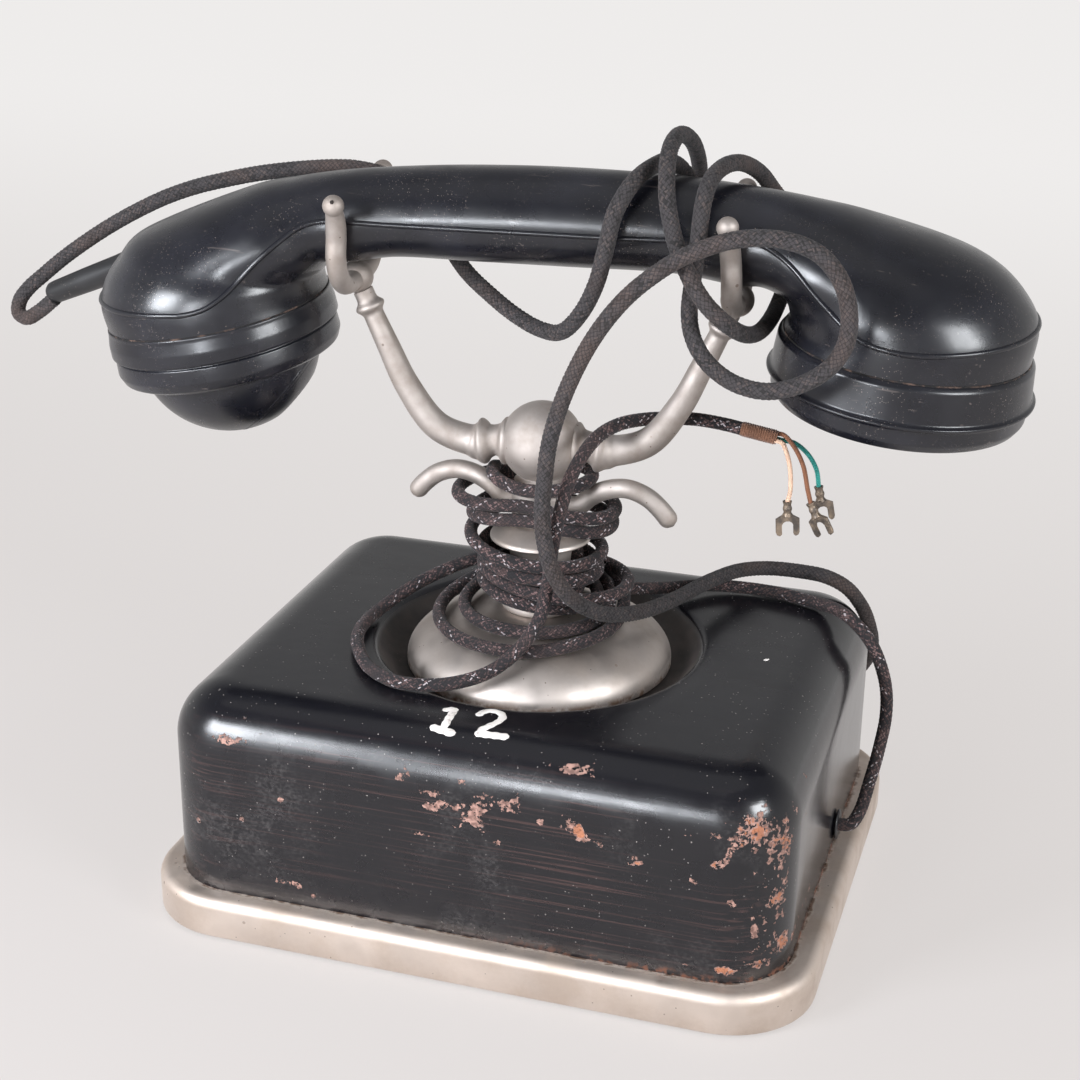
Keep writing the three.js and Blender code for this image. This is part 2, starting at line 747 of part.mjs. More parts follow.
// Speaking end: ring cap, hood with its round mouth, and the microphone capsule
const hoodSeat = hoodRadius + gap;
part(handset, "mouthpiece_cap", onSpeak(turned([
  [hoodSeat, -speakCapHeight], [hoodSeat + 2.4, -speakCapHeight + 0.1],
  [speakCapRidge - 1.9, -speakCapHeight + 1.7], [speakCapRidge - 0.8, -speakCapHeight + 4],
  [speakCapRidge - 0.7, -8.3], [speakCapRidge, -7.9],
  [speakCapRidge - 0.1, -4.4], [speakCapRidge - 0.7, -1.3], [speakRadius + 0.3, -gap], [hoodSeat, -gap],
  [hoodSeat, -speakCapHeight],
], 24)), ebonite);

// The mouth looks down and inwards in the handset's own frame, so its bore is given there
const mouthLean = Math.PI / 2 + mouthAngle - speakTilt;
function hoodShell() {
  const outer = [];
  const inner = [];
  const steps = 4;
  for (let i = 0; i <= steps; i += 1) {
    const angle = 90 * rad * i / steps;
    const hollow = hoodRadius - hoodWall;
    outer.push([hoodRadius * Math.cos(angle), -hoodDrop - hoodRadius * Math.sin(angle)]);
    inner.push([hollow * Math.cos(angle), -hoodDrop - hollow * Math.sin(angle)]);
  }
  const rim = -4.2;
  outer[steps][0] = 0;
  inner[steps][0] = 0;
  const shell = turned([
    ...outer.reverse(), [hoodRadius, rim], [hoodRadius - hoodWall, rim], ...inner,
  ], 22);
  const toMouth = (geometry) => geometry.rotateY(mouthLean).translate(0, 0, -hoodDrop);
  const lip = toMouth(turned([
    [mouthRadius - 0.6, mouthReach - 3], [mouthRadius + 2.6, mouthReach - 2],
    [mouthRadius + 3.4, mouthReach - 0.6], [mouthRadius + 1.8, mouthReach + 0.7],
    [mouthRadius, mouthReach + 0.4], [mouthRadius - 0.6, mouthReach - 3],
  ], 16));
  const bore = toMouth(disc(mouthRadius, mouthReach - 8, mouthReach + 8, 16));
  const flat = toMouth(disc(hoodRadius, mouthReach, mouthReach + 8, 16));
  return join(cut(shell, bore, flat), lip);
}
part(handset, "mouthpiece_hood", onSpeak(hoodShell()), ebonite);
part(handset, "microphone_capsule", onSpeak(turned([
  [0, -3.4], [pocketRadius - 4, -3.4], [pocketRadius - 3, -2.4], [pocketRadius - gap, -1.4],
  [pocketRadius - gap, 3], [pocketRadius - 3, pocketDepth - gap], [0, pocketDepth - gap],
], 20)), steel);

// Hearing end: ear cap with a dished face and a hole, diaphragm and receiver
part(handset, "ear_cap", onHear(turned([
  [soundHole, -hearCapHeight + 2.6], [12, -hearCapHeight + 1.6],
  [22, -hearCapHeight + 0.3], [27, -hearCapHeight],
  [hearRadius - 0.2, -hearCapHeight + 1.5], [hearCapRidge - 1.9, -hearCapHeight + 3.6],
  [hearCapRidge - 1.5, -11.4], [hearCapRidge, -10.5], [hearCapRidge - 1.9, -1.4], [hearRadius + 0.2, -gap],
  [hearBore, -gap], [hearBore, -3.4], [soundHole, -4], [soundHole, -hearCapHeight + 2.6],
], 24)), ebonite);
part(handset, "receiver_diaphragm", onHear(disc(hearBore - gap, -1, -gap, 20)), steel);
part(handset, "receiver_unit", onHear(turned([
  [0, gap], [pocketRadius - 8, gap], [pocketRadius - gap, 1.8], [pocketRadius - gap, pocketDepth - gap],
  [0, pocketDepth - gap],
], 20)), steel);
part(handset, "cord_sleeve", sleeveBar([
  [bossEnd + gap, 3.9], [bossEnd + 6, sleeveRadius + 0.2], [bossEnd + 18, sleeveRadius],
  [bossEnd + sleeveLength - 1, sleeveRadius - 0.3], [bossEnd + sleeveLength, sleeveRadius - 0.6],
], 10), rubber);

// Handset cord, upper part: from the sleeve behind the handle, over and under it in the
// tangle at the right fork, and down towards the ball
const handsetRoute = [
  [-149.6, 7.6, 147.6], [-156.9, 9.6, 142.2], [-161, 10.1, 140], [-164.3, 11.3, 141], [-164.2, 12.3, 144.4],
  [-161.4, 13.1, 148.2], [-157, 13.6, 152], [-149.7, 13.5, 157.8], [-142.2, 13.4, 163.1], [-134, 13.4, 168.4],
  [-124.5, 13.4, 173.8], [-114.9, 13.4, 178.5], [-105.7, 13.4, 182], [-96.7, 13.3, 184.6],
  [-87.9, 13.3, 186.8], [-78.9, 12.8, 188.6], [-70.1, 12.1, 190], [-62.4, 11, 191],
  [-55.4, 9.6, 191.4], [-47.4, 10.4, 189.6], [-39.6, 12.6, 182.4], [-32.5, 14, 172.9], [-24.9, 9.4, 166.2],
  [-16, 3.2, 162.1], [-7.3, -1.8, 158.6], [1.2, -6.9, 156.9], [8.4, -12, 158.2], [14.9, -16.4, 164.9],
  [19.3, -18.6, 173.4], [21.5, -18.8, 182], [23, -17.2, 190.3], [25, -13.8, 195.6], [26.9, -8.1, 198.8],
  [28.6, 0.2, 200], [29.6, 9.4, 199.4], [31.1, 17.8, 196.2], [32.9, 22.6, 191.3], [33.9, 26.4, 185.3],
  [33.6, 32.9, 180.9], [32.3, 39.8, 180.7], [31.4, 41.8, 185.2], [31.6, 37.7, 191.4], [32.6, 29.8, 197.4],
  [33, 20.8, 202.7], [32.7, 11.7, 206], [32.8, 2.7, 206.4], [33.4, -5.3, 204.3], [34.5, -11.2, 200.6],
  [35.7, -15.1, 195.6], [37.4, -17.4, 190], [39.2, -19.2, 185.6], [41.9, -22, 181.6], [45.1, -25.1, 177.5],
  [48.7, -26.2, 173.1], [52.4, -25.3, 169.3], [55.7, -19.9, 165], [57.4, -7.7, 161.2], [57.8, 8.5, 160],
  [57.8, 22.6, 162.2], [58.2, 31.2, 167.2], [58.1, 35.7, 172.5], [57, 36.6, 179], [55.2, 34.4, 185.2],
  [52.9, 30.6, 189.8], [51.1, 23.8, 194.8], [49, 16.6, 198.4], [47.3, 7.3, 200.6], [45.8, -0.9, 200.7],
  [44.9, -7.5, 199.3], [44.6, -12.8, 196.2], [44.6, -16, 191.9], [44.6, -18, 186.1], [44.3, -19, 180.9],
  [43.9, -19.8, 175.5], [43.6, -20.4, 169.4], [44.5, -21.2, 164.2], [47, -22.2, 159.6], [51.2, -23.4, 155.8],
  [57.3, -25, 153.2], [65, -26.4, 152.7], [72.7, -27.4, 155.3], [79.7, -27.8, 160.3], [83.5, -27.9, 167.1],
  [83.6, -27.3, 174.3], [80.9, -26.2, 181.6], [75.7, -25.4, 186.9], [69.1, -25.2, 189.4],
  [61.8, -25.2, 189.8],
  [54.5, -25.4, 188.7], [47.6, -26, 186.2], [42, -27, 183.4], [36.6, -28.5, 179.6], [31, -29.7, 174.6],
  [25.8, -30.3, 168.3], [20.8, -29.9, 160.4], [16.4, -29.4, 151.3], [13.2, -29.2, 142.6], [11, -29.5, 133.7],
  [10, -29.6, 124.6],
];
const handsetCordLow = [
  [9.95, -29.6, 124.3], [9.6, -30.1, 114.9], [10.5, -30, 106.7], [12.1, -28.8, 99.5], [15, -26.5, 92.8],
  [18.4, -22.1, 87.5], [22, -16.2, 83.4], [26, -8.4, 80.4], [30.6, 3, 77.9], [35.2, 18.8, 75.8],
  [40.1, 34.8, 74.8], [45.9, 48.6, 73.4], [53.1, 57.4, 71.6], [61.7, 59.6, 71], [69.7, 58.6, 70.8],
  [75.6, 60.6, 67.4], [79.8, 65, 60.4], [82, 70.2, 52], [82.6, 75.6, 43], [79.8, 80.6, 34],
  [73.4, 82.4, 26],
  [65.4, 80.4, 20.4], [handsetExit[0], handsetExit[1] + 5, handsetExit[2]],
  [handsetExit[0], handsetExit[1] + 1.1 + gap, handsetExit[2]],
];
part(handset, "handset_cord_upper", inHandset(cordAlong(handsetRoute, handsetCord, 54)), braid);
part(telephone, "handset_cord_lower", cordAlong(handsetCordLow, handsetCord, 19), braid);

// Winding of the line cord: stations of turn number, distance from the column's axis and
// height. It enters behind the column, fills the waist, passes the saucer, runs over both
// hooks and twice under them, and comes down outside in four sloping turns and two wide
// ones on the dome. Turn 0 is at the back and turns count anticlockwise from above.
const outerTurns = 2.5;
const outerPitch = 3.9;
const outerRadius = 15.8;
const outerSlopes = [2.2, 0.2, -1.6, 0.8];
const outerStations = [];
for (let quarter = 0; quarter <= outerTurns * 4; quarter += 1) {
  const height = saucerTop - 6.4 - outerPitch * quarter / 4 + outerSlopes[quarter % 4];
  outerStations.push([6.25 + quarter / 4, outerRadius, height]);
}
outerStations[0][1] = outerRadius + 0.5;
const bight = outerStations[6];
bight[1] = 24.5;
bight[2] = 84.9;
const windingStations = [
  [-0.1, 21.5, 76.7], [0, 17.6, 77.2], [0.1, 15.2, 78.2], [0.25, 13, 80.2], [0.5, 10.9, 81.5],
  [1, 10.9, 83.7], [1.75, 10.9, 87.3], [1.86, 11, 90], [1.93, 13.2, 92.8], [2, 16.4, 95.2],
  [2.06, 16.2, 100.6], [2.12, 14.6, 106.2], [2.19, 14.3, 112.9], [2.25, 13.7, 114.8], [2.5, 10.9, 113.5],
  [2.75, 13.7, 114.7], [3, 13, 113.6], [3.1, 17, 111.6], [3.25, 23.5, 108.2], [3.5, 12.4, 109.5],
  [3.75, 19.6, 105.2], [4, 20.6, 104.2], [4.25, 19.4, 102.4], [4.5, 12.2, 105.4], [4.75, 18.8, 101],
  [5, 20.8, 99.8], [5.25, 19.6, 97.8], [5.5, 16.4, 94.5], [5.75, 16, 92.2], [6, 20.2, 91.8],
  ...outerStations,
  [9, 16.2, 81.5], [9.1, 18.8, 80.8], [9.25, 20.6, 77.4], [9.5, 20.6, 76.8], [9.75, 19.3, 77.4],
  [10, 21.4, 81.8], [10.25, 27.4, 74.8], [10.5, 27.8, 74.2], [10.62, 25.6, 75.4], [10.75, 23.2, 76.4],
  [10.86, 24, 80.4], [11, 26.2, 81.6],
];

// A value between stations, on a smooth curve through them
function stationValue(turn, column) {
  const list = windingStations;
  let i = 0;
  while (i + 2 < list.length && turn > list[i + 1][0]) {
    i += 1;
  }
  const slopeAt = (j) => {
    const before = list[Math.max(j - 1, 0)];
    const after = list[Math.min(j + 1, list.length - 1)];
    return (after[column] - before[column]) / (after[0] - before[0]);
  };
  const width = list[i + 1][0] - list[i][0];
  const u = (turn - list[i][0]) / width;
  return list[i][column] * (2 * u ** 3 - 3 * u ** 2 + 1)
    + slopeAt(i) * width * (u ** 3 - 2 * u ** 2 + u)
    + list[i + 1][column] * (3 * u ** 2 - 2 * u ** 3)
    + slopeAt(i + 1) * width * (u ** 3 - u ** 2);
}

const loopSteps = 24;
const windingPoints = [];
const firstTurn = windingStations[0][0];
const lastTurn = windingStations[windingStations.length - 1][0];
for (let i = 0; i <= (lastTurn - firstTurn) * loopSteps; i += 1) {
  const turn = firstTurn + i / loopSteps;
  const angle = Math.PI / 2 + 2 * Math.PI * turn;
  const radius = stationValue(turn, 1);
  const height = stationValue(turn, 2);
  windingPoints.push(new THREE.Vector3(radius * Math.cos(angle), radius * Math.sin(angle), height));
}

// The loose loop on the case's top, and the rise in front to the start of the tail
const looseLoop = [
  [-15, 23.6, 81.6], [-26.2, 15, 79.8], [-37.7, 7, 75], [-46.2, -3.6, 69.6], [-47.2, -16, 68.5],
  [-42.7, -28, 68.5], [-34.7, -38.7, 68.5], [-24.3, -44, 68.5], [-11.5, -41.8, 69.2], [-1.6, -36, 72],
  [4.6, -30.6, 77.5], [8, -26, 84], [9.2, -24.2, 91.3],
];
const loopRoute = smooth([...windingPoints.slice(-1).map((p) => p.toArray()), ...looseLoop]);
const loopPieces = 42;
for (let i = 1; i <= loopPieces; i += 1) {
  windingPoints.push(loopRoute.getPointAt(i / loopPieces));
}

// One unbroken tube of six sides through points that are close together
function tubeThrough(points, diameter, sides) {
  const rings = [];
  const side = new THREE.Vector3(0, 0, 1);
  points.forEach((point, i) => {
    const before = points[Math.max(i - 1, 0)];
    const after = points[Math.min(i + 1, points.length - 1)];
    const tangent = after.clone().sub(before).normalize();
    side.addScaledVector(tangent, -side.dot(tangent)).normalize();
    const up = new THREE.Vector3().crossVectors(tangent, side);
    const ringPoints = [];
    for (let s = 0; s < sides; s += 1) {
      const angle = 2 * Math.PI * s / sides;
      ringPoints.push(point.clone()
        .addScaledVector(side, diameter / 2 * Math.cos(angle))
        .addScaledVector(up, diameter / 2 * Math.sin(angle)));
    }
    rings.push(ringPoints);
  });
  return loft(rings);
}
part(telephone, "line_cord_winding", tubeThrough(windingPoints, lineCord, 6), tweed);

function leastGap(points, diameter) {
  const apart = 9;
  let least = Infinity;
  for (let i = 0; i < points.length; i += 1) {
    for (let j = i + apart; j < points.length; j += 1) {
      least = Math.min(least, points[i].distanceTo(points[j]));
    }
  }
  return least - diameter;
}
console.log(`line_cord_winding: least gap to itself ${leastGap(windingPoints, lineCord).toFixed(2)} mm`);

// Line cord before the winding: from the bush on the right side, over the case's edge and
// behind the pedestal, face to face with the winding's first end
const windingStart = windingPoints[0];
const windingAway = windingStart.clone().sub(windingPoints[1]).normalize();
const beforeStart = (distance) => windingStart.clone().addScaledVector(windingAway, distance).toArray();
const lineRoute = [
  [lineExit[0] + 1.1 + gap, lineExit[1], lineExit[2]],
  [lineExit[0] + 4, lineExit[1] + 0.6, lineExit[2] + 0.2],
  [90.4, 13.6, 19.6], [91.8, 21.6, 26.2], [92.8, 29.4, 33.2], [93.2, 35, 40.4], [92.4, 37, 47.6],
  [90, 37, 55.7], [86.5, 35.4, 63.2], [81.6, 36.4, 67.6], [75.7, 40.4, 68.9], [67.8, 43.8, 68.7],
  [58.4, 46.8, 68.7], [47.9, 47.4, 68.7], [38, 44.6, 69.2], [30.6, 37.4, 70.6], [26, 28.4, 73.2],
  [21.2, 21, 75.4],
  beforeStart(4), beforeStart(gap),
];
part(telephone, "line_cord_lead", cordAlong(lineRoute, lineCord, 17), tweed);

// Tail of the line cord: past the ball and over the right arm to the whipping
const windingEnd = windingPoints[windingPoints.length - 1];
const windingOnward = windingEnd.clone().sub(windingPoints[windingPoints.length - 2]).normalize();
const afterEnd = (distance) => windingEnd.clone().addScaledVector(windingOnward, distance).toArray();
const whippingStart = new THREE.Vector3(51.1, 13.5, 129);
const whippingEnd = new THREE.Vector3(60.6, 14.5, 127.2);
const whippingAxis = whippingEnd.clone().sub(whippingStart).normalize();
const beforeWhipping = (distance) => whippingStart.clone().addScaledVector(whippingAxis, -distance).toArray();
const tailRoute = [
  afterEnd(gap), afterEnd(3), [10.2, -24.4, 99.4], [11.4, -24.6, 107.5], [12.8, -24, 115],
  [14.1, -21.6, 121.4],
  [15.8, -17, 126.6], [17.9, -9, 130], [21.2, -1, 131.2], [25.9, 6, 131], [32, 10, 130.8],
  [39.7, 12.2, 130.6], beforeWhipping(4), beforeWhipping(gap),
];
part(cradle, "line_cord_tail", inCradle(cordAlong(tailRoute, lineCord, 10)), tweed);

const whippingRadius = lineCord / 2 + 0.35;
const whippingLine = new THREE.LineCurve3(whippingStart, whippingEnd);
const whippingLength = whippingLine.getLength();
part(cradle, "cord_whipping", inCradle(bar(whippingLine, [
  [0, whippingRadius - 0.3], [0.6, whippingRadius], [whippingLength - 0.8, whippingRadius],
  [whippingLength, whippingRadius - 0.5],
], 12)), brownCotton);

// Three wires from the whipping, each to an open fork lug
function wire(route) {
  return bar(smooth(route), [0, 0.14, 0.3, 0.46, 0.62, 0.8, 1].map((share) =>
    [share * smooth(route).getLength(), wireDiameter / 2]), 6);
}
const wireStart = (y, z) => whippingEnd.clone().addScaledVector(whippingAxis, gap)
  .add(new THREE.Vector3(0, y, z)).toArray();
const wireAfter = (y, z) => whippingEnd.clone().addScaledVector(whippingAxis, gap + 1.5)
  .add(new THREE.Vector3(0, y * 1.2, z * 1.2)).toArray();
const wireRoutes = {
  pale: [
    wireStart(-1.1, -0.5), wireAfter(-1.1, -0.5),
    [63.2, 13.9, 124.6], [64.7, 14.2, 119.6], [65.2, 14.4, 112.7], [64.6, 14.4, 109.6],
  ],
  brown: [
    wireStart(0.3, 0.9), wireAfter(0.3, 0.9),
    [65.4, 14.4, 125.3], [68.2, 14.2, 120.4], [70, 13.8, 113.6], [71.1, 13.6, 110.2],
  ],
  green: [
    wireStart(1.1, -0.7), wireAfter(1.1, -0.7),
    [65, 17, 125.4], [68.6, 18, 122.4], [71.2, 18.2, 118.2], [72.2, 18.2, 113.4],
  ],
};
part(cradle, "wire_pale", inCradle(wire(wireRoutes.pale)), whiteCotton);
part(cradle, "wire_brown", inCradle(wire(wireRoutes.brown)), brownCotton);
part(cradle, "wire_green", inCradle(wire(wireRoutes.green)), greenCotton);

// An open fork lug: a barrel round the wire's end and a flat two-pronged fork below it
const lugSheet = 0.8;
const lugHalf = 3.2;
const lugSlot = 1.6;
function lug(wireEnd, lean, turn) {
  const outline = new THREE.Shape();
  outline.moveTo(-1, -2.4);
  outline.lineTo(-lugHalf, -4.4);
  outline.lineTo(-lugHalf, -8.6);
  outline.lineTo(-lugSlot, -9.4);
  outline.lineTo(-lugSlot, -6.2);
  outline.lineTo(0, -5.2);
  outline.lineTo(lugSlot, -6.2);
  outline.lineTo(lugSlot, -9.4);
  outline.lineTo(lugHalf, -8.6);
  outline.lineTo(lugHalf, -4.4);
  outline.lineTo(1, -2.4);
  const blade = new THREE.ExtrudeGeometry(outline, { depth: lugSheet, bevelEnabled: false });
  blade.translate(0, 0, -lugSheet / 2).rotateX(Math.PI / 2);
  return join(blade, disc(1.25, -3.4, -gap, 8)).rotateZ(turn).rotateY(lean).translate(...wireEnd);
}
const lastOf = (route) => route[route.length - 1];
part(cradle, "lug_pale", inCradle(lug(lastOf(wireRoutes.pale), -4 * rad, 10 * rad)), tinned);
part(cradle, "lug_brown", inCradle(lug(lastOf(wireRoutes.brown), -28 * rad, -30 * rad)), tinned);
part(cradle, "lug_green", inCradle(lug(lastOf(wireRoutes.green), -12 * rad, 20 * rad)), tinned);

// Ringer: frame with yoke, cores and pivot, two coils, armature with clapper, two gongs
const coilFront = clapperPivotY + 3.6;
const yokeFront = coilFront + coilLength + 2 * gap;
const yokeThickness = 3;
const coreRadius = 3.2;
const alongY = (radius, low, high, x, z, segments) =>
  disc(radius, -high, -low, segments).rotateX(Math.PI / 2).translate(x, 0, z);
part(telephone, "ringer_frame", join(
  boxFrom([-23, clapperPivotY - 4, plateTop + gap], [23, yokeFront + yokeThickness, plateTop + gap + 2]),
  boxFrom([-23, yokeFront, plateTop + gap], [23, yokeFront + yokeThickness, ringerHeight + coilRadius + 2]),
  alongY(coreRadius, coilFront - 1, yokeFront + 1, -coilSpan, ringerHeight, 12),
  alongY(coreRadius, coilFront - 1, yokeFront + 1, coilSpan, ringerHeight, 12),
  placed(disc(3.4, plateTop + gap + 1, ringerHeight - 4.4, 12), 0, clapperPivotY, 0),
  placed(disc(1, plateTop + gap + 1, ringerHeight + 5, 10), 0, clapperPivotY, 0),
), steel);
function coil() {
  const hole = coreRadius + gap;
  return turned([
    [hole, 0], [coilRadius, 0], [coilRadius, coilCheek], [coilWound, coilCheek],
    [coilWound, coilLength - coilCheek], [coilRadius, coilLength - coilCheek],
    [coilRadius, coilLength], [hole, coilLength], [hole, 0],
  ], 12).rotateX(-Math.PI / 2).translate(0, coilFront + gap, ringerHeight);
}
part(telephone, "ringer_coil_left", placed(coil(), -coilSpan, 0, 0), copper);
part(telephone, "ringer_coil_right", placed(coil(), coilSpan, 0, 0), copper);
const clapperRod = 1.2;
part(telephone, "clapper", cut(
  join(
    boxFrom([-19, clapperPivotY - 1.3, ringerHeight - 4], [19, clapperPivotY + 1.3, ringerHeight + 4]),
    placed(disc(2.8, ringerHeight - 4, ringerHeight + 4, 10), 0, clapperPivotY, 0),
    alongY(clapperRod, gongY, clapperPivotY, 0, ringerHeight, 8),
    new THREE.SphereGeometry(clapperBall, 8, 6).translate(0, gongY, ringerHeight),
  ),
  placed(disc(1 + gap, ringerHeight - far, ringerHeight + far, 10), 0, clapperPivotY, 0),
), steel);

const gongRim = ringerHeight - 2;
const gongCrown = gongRim + gongDepth;
function gong() {
  const outer = [];
  const inner = [];
  const steps = 3;
  const hole = pinRadius + gap;
  for (let i = 0; i <= steps; i += 1) {
    const angle = 90 * rad * i / steps;
    const rise = (gongDepth - gongSheet) * Math.sin(angle);
    outer.push([hole + (gongRadius - hole) * Math.cos(angle), gongRim + gongSheet + rise]);
    inner.push([hole + (gongRadius - gongSheet - hole) * Math.cos(angle), gongRim + rise]);
  }
  return turned([[gongRadius, gongRim], ...outer, ...inner.reverse(), [gongRadius, gongRim]], 16);
}
part(telephone, "gong_left", placed(gong(), -gongSpan, gongY, 0), bellMetal);
part(telephone, "gong_right", placed(gong(), gongSpan, gongY, 0), bellMetal);
const postTop = gongCrown - gongSheet - gap;
function gongPost() {
  return turned([
    [0, plateTop + gap], [5, plateTop + gap], [5, plateTop + 3], [3.2, plateTop + 4], [3.2, postTop],
    [pinRadius, postTop], [pinRadius, gongCrown + gap], [3.4, gongCrown + gap], [3.4, gongCrown + 2.2],
    [0, gongCrown + 2.2],
  ], 10);
}
part(telephone, "gong_post_left", placed(gongPost(), -gongSpan, gongY, 0), steel);
part(telephone, "gong_post_right", placed(gongPost(), gongSpan, gongY, 0), steel);

// Cradle switch: bracket with two ears, lever under the plunger, stack of contact springs
const leverTop = rodBottom - gap;
const leverDepth = 3.4;
const leverHalf = 4;
const earGap = 1;
const earSheet = 2;
const earHole = pinRadius + gap;
const earPin = (radius, half, segments) => alongY(radius, -half, half, leverPivotX, leverHeight, segments);
const earOuter = leverHalf + earGap + earSheet;
part(telephone, "switch_bracket", cut(
  boxFrom([leverPivotX - 4, -earOuter, plateTop + gap], [leverPivotX + 4, earOuter, leverHeight + 3.6]),
  boxFrom(
    [leverPivotX - far, -leverHalf - earGap, leverHeight - 6],
    [leverPivotX + far, leverHalf + earGap, far],
  ),
  earPin(earHole, earOuter + 1, 12),
), steel);
part(telephone, "hook_lever", join(
  boxFrom([leverPivotX - 11, -leverHalf, leverTop - leverDepth], [4, leverHalf, leverTop]),
  earPin(pinRadius, earOuter + 0.6, 10),
), steel);
const leafSheet = 0.6;
const leafPitch = 2.3;
const leafBottom = leverTop + gap;
const leaves = [0, 1, 2].map((i) => boxFrom(
  [leverPivotX - 28, -3, leafBottom + i * leafPitch],
  [leverPivotX - 8 + 2 * i, 3, leafBottom + i * leafPitch + leafSheet],
));
part(telephone, "contact_springs", join(
  boxFrom([leverPivotX - 34, -6, plateTop + gap], [leverPivotX - 24, 6, leafBottom + 2 * leafPitch + 3]),
  ...leaves,
), fibre);

// Speech circuit: induction coil, condenser and terminal strip on the base plate
const floorTop = plateTop + gap;
const innerX = caseWidth / 2 - caseWall;
const innerY = caseDepth / 2 - caseWall;
const bobbinCore = bobbinRadius - 1.6;
const bobbinCheekAt = bobbinHalf - bobbinCheek;
const bobbin = turned([
  [0, -bobbinHalf], [bobbinRadius, -bobbinHalf], [bobbinRadius, -bobbinCheekAt], [bobbinCore, -bobbinCheekAt],
  [bobbinCore, bobbinCheekAt], [bobbinRadius, bobbinCheekAt], [bobbinRadius, bobbinHalf], [0, bobbinHalf],
], 12).rotateX(Math.PI / 2);
const bobbinX = bobbinAwayX + bobbinRadius - innerX;
const bobbinY = innerY - bobbinAwayY - bobbinHalf;
part(telephone, "induction_coil", placed(bobbin, bobbinX, bobbinY, floorTop + bobbinRadius), copper);
const condenserRight = innerX - condenserAwayX;
const condenserBack = innerY - condenserAwayY;
part(telephone, "condenser", boxFrom(
  [condenserRight - condenserWidth, condenserBack - condenserDepth, floorTop],
  [condenserRight, condenserBack, floorTop + condenserHeight],
), tinned);
const stripRight = innerX - stripAway;
const stripTop = floorTop + stripHeight;
const stripStart = stripFront - innerY;
const studs = [0, 1, 2, 3, 4].map((i) => placed(
  disc(studRadius, stripTop - 1, stripTop + 2.6, 6),
  stripRight - stripWidth / 2,
  stripStart + 8 + studPitch * i,
  0,
));
part(telephone, "terminal_strip", join(
  boxFrom([stripRight - stripWidth, stripStart, floorTop], [stripRight, stripStart + stripLength, stripTop]),
  ...studs,
), fibre);

export default telephone;
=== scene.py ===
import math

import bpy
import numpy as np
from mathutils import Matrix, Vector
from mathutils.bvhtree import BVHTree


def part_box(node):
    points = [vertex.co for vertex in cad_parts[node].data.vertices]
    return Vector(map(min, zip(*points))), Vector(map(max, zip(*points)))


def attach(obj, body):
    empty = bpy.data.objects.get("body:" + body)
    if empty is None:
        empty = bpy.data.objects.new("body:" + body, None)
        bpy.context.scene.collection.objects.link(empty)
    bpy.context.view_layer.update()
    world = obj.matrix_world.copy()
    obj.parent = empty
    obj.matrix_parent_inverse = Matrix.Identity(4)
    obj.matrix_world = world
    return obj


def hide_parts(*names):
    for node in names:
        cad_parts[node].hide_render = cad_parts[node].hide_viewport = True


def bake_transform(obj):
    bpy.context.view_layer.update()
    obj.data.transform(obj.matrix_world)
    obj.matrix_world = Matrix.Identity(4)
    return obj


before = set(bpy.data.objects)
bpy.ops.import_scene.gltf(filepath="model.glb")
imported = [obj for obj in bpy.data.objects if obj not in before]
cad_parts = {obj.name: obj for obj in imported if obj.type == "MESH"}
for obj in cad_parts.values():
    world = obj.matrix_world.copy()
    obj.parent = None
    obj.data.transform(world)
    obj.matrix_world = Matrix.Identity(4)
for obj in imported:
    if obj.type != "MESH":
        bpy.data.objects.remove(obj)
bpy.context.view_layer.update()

# %% [markdown]
# # A desk telephone of the 1920s
#
# The frame that was just loaded is the engineer's model: every piece is there, at its real size and
# in its real place, but with few faces and plain colours. This lesson dresses it. Each step looks at
# one piece or finish of the real telephone, says how it could be made, and makes it so.
#
# The shop's drawings are in millimetres, and Blender works in metres, so the lesson keeps its sizes in
# millimetres and turns them into metres in one place, where a mesh is made.

MM = 0.001
NEAR_AXIS = 0.02


def node_box(node):
    """Lowest and highest corner of a CAD node, in millimetres."""
    low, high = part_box(node)
    return np.array(low) / MM, np.array(high) / MM


skirt_low, skirt_high = node_box("base_skirt")
case_low, case_high = node_box("case_shell")
dome_radius = node_box("pedestal_dome")[1][1]
skirt_width, skirt_depth, _ = skirt_high - skirt_low
case_width, case_depth, _ = case_high - case_low
skirt_top = skirt_high[2]
case_top = case_high[2]
print(f"skirt {skirt_width:.0f} x {skirt_depth:.0f} mm")
print(f"case {case_width:.0f} x {case_depth:.0f} mm, its top {case_top:.1f} mm above the table")

# %% [markdown]
# ## Camera
#
# The picture was taken from in front and a little to the right, looking down on the case. A camera is
# a place and three directions: which way is right, which way is up, and which way it looks. Giving it
# the three directions at once, as the columns of a matrix, is surer than turning it by angles.

# %% Camera
CAMERA_PLACE = (150.45, -482.77, 298.44)
CAMERA_RIGHT = (0.95310265, 0.30241828, 0.01176931)
CAMERA_UP = (-0.12313446, 0.35196043, 0.92788025)
CAMERA_LOOK = (-0.27646562, 0.88581433, -0.37269254)
LENS = 66.475
SENSOR = 36

camera_data = bpy.data.cameras.new("camera")
camera_data.lens = LENS
camera_data.sensor_width = SENSOR
camera_data.sensor_height = SENSOR
camera = bpy.data.objects.new("camera", camera_data)
bpy.context.scene.collection.objects.link(camera)
turn = Matrix([CAMERA_RIGHT, CAMERA_UP, [-value for value in CAMERA_LOOK]]).transposed()
camera.matrix_world = Matrix.Translation(Vector(CAMERA_PLACE) * MM) @ turn.to_4x4()
bpy.context.scene.camera = camera
bpy.context.scene.view_settings.view_transform = "Standard"
print(f"camera {Vector(CAMERA_PLACE).length:.0f} mm from the middle of the base")

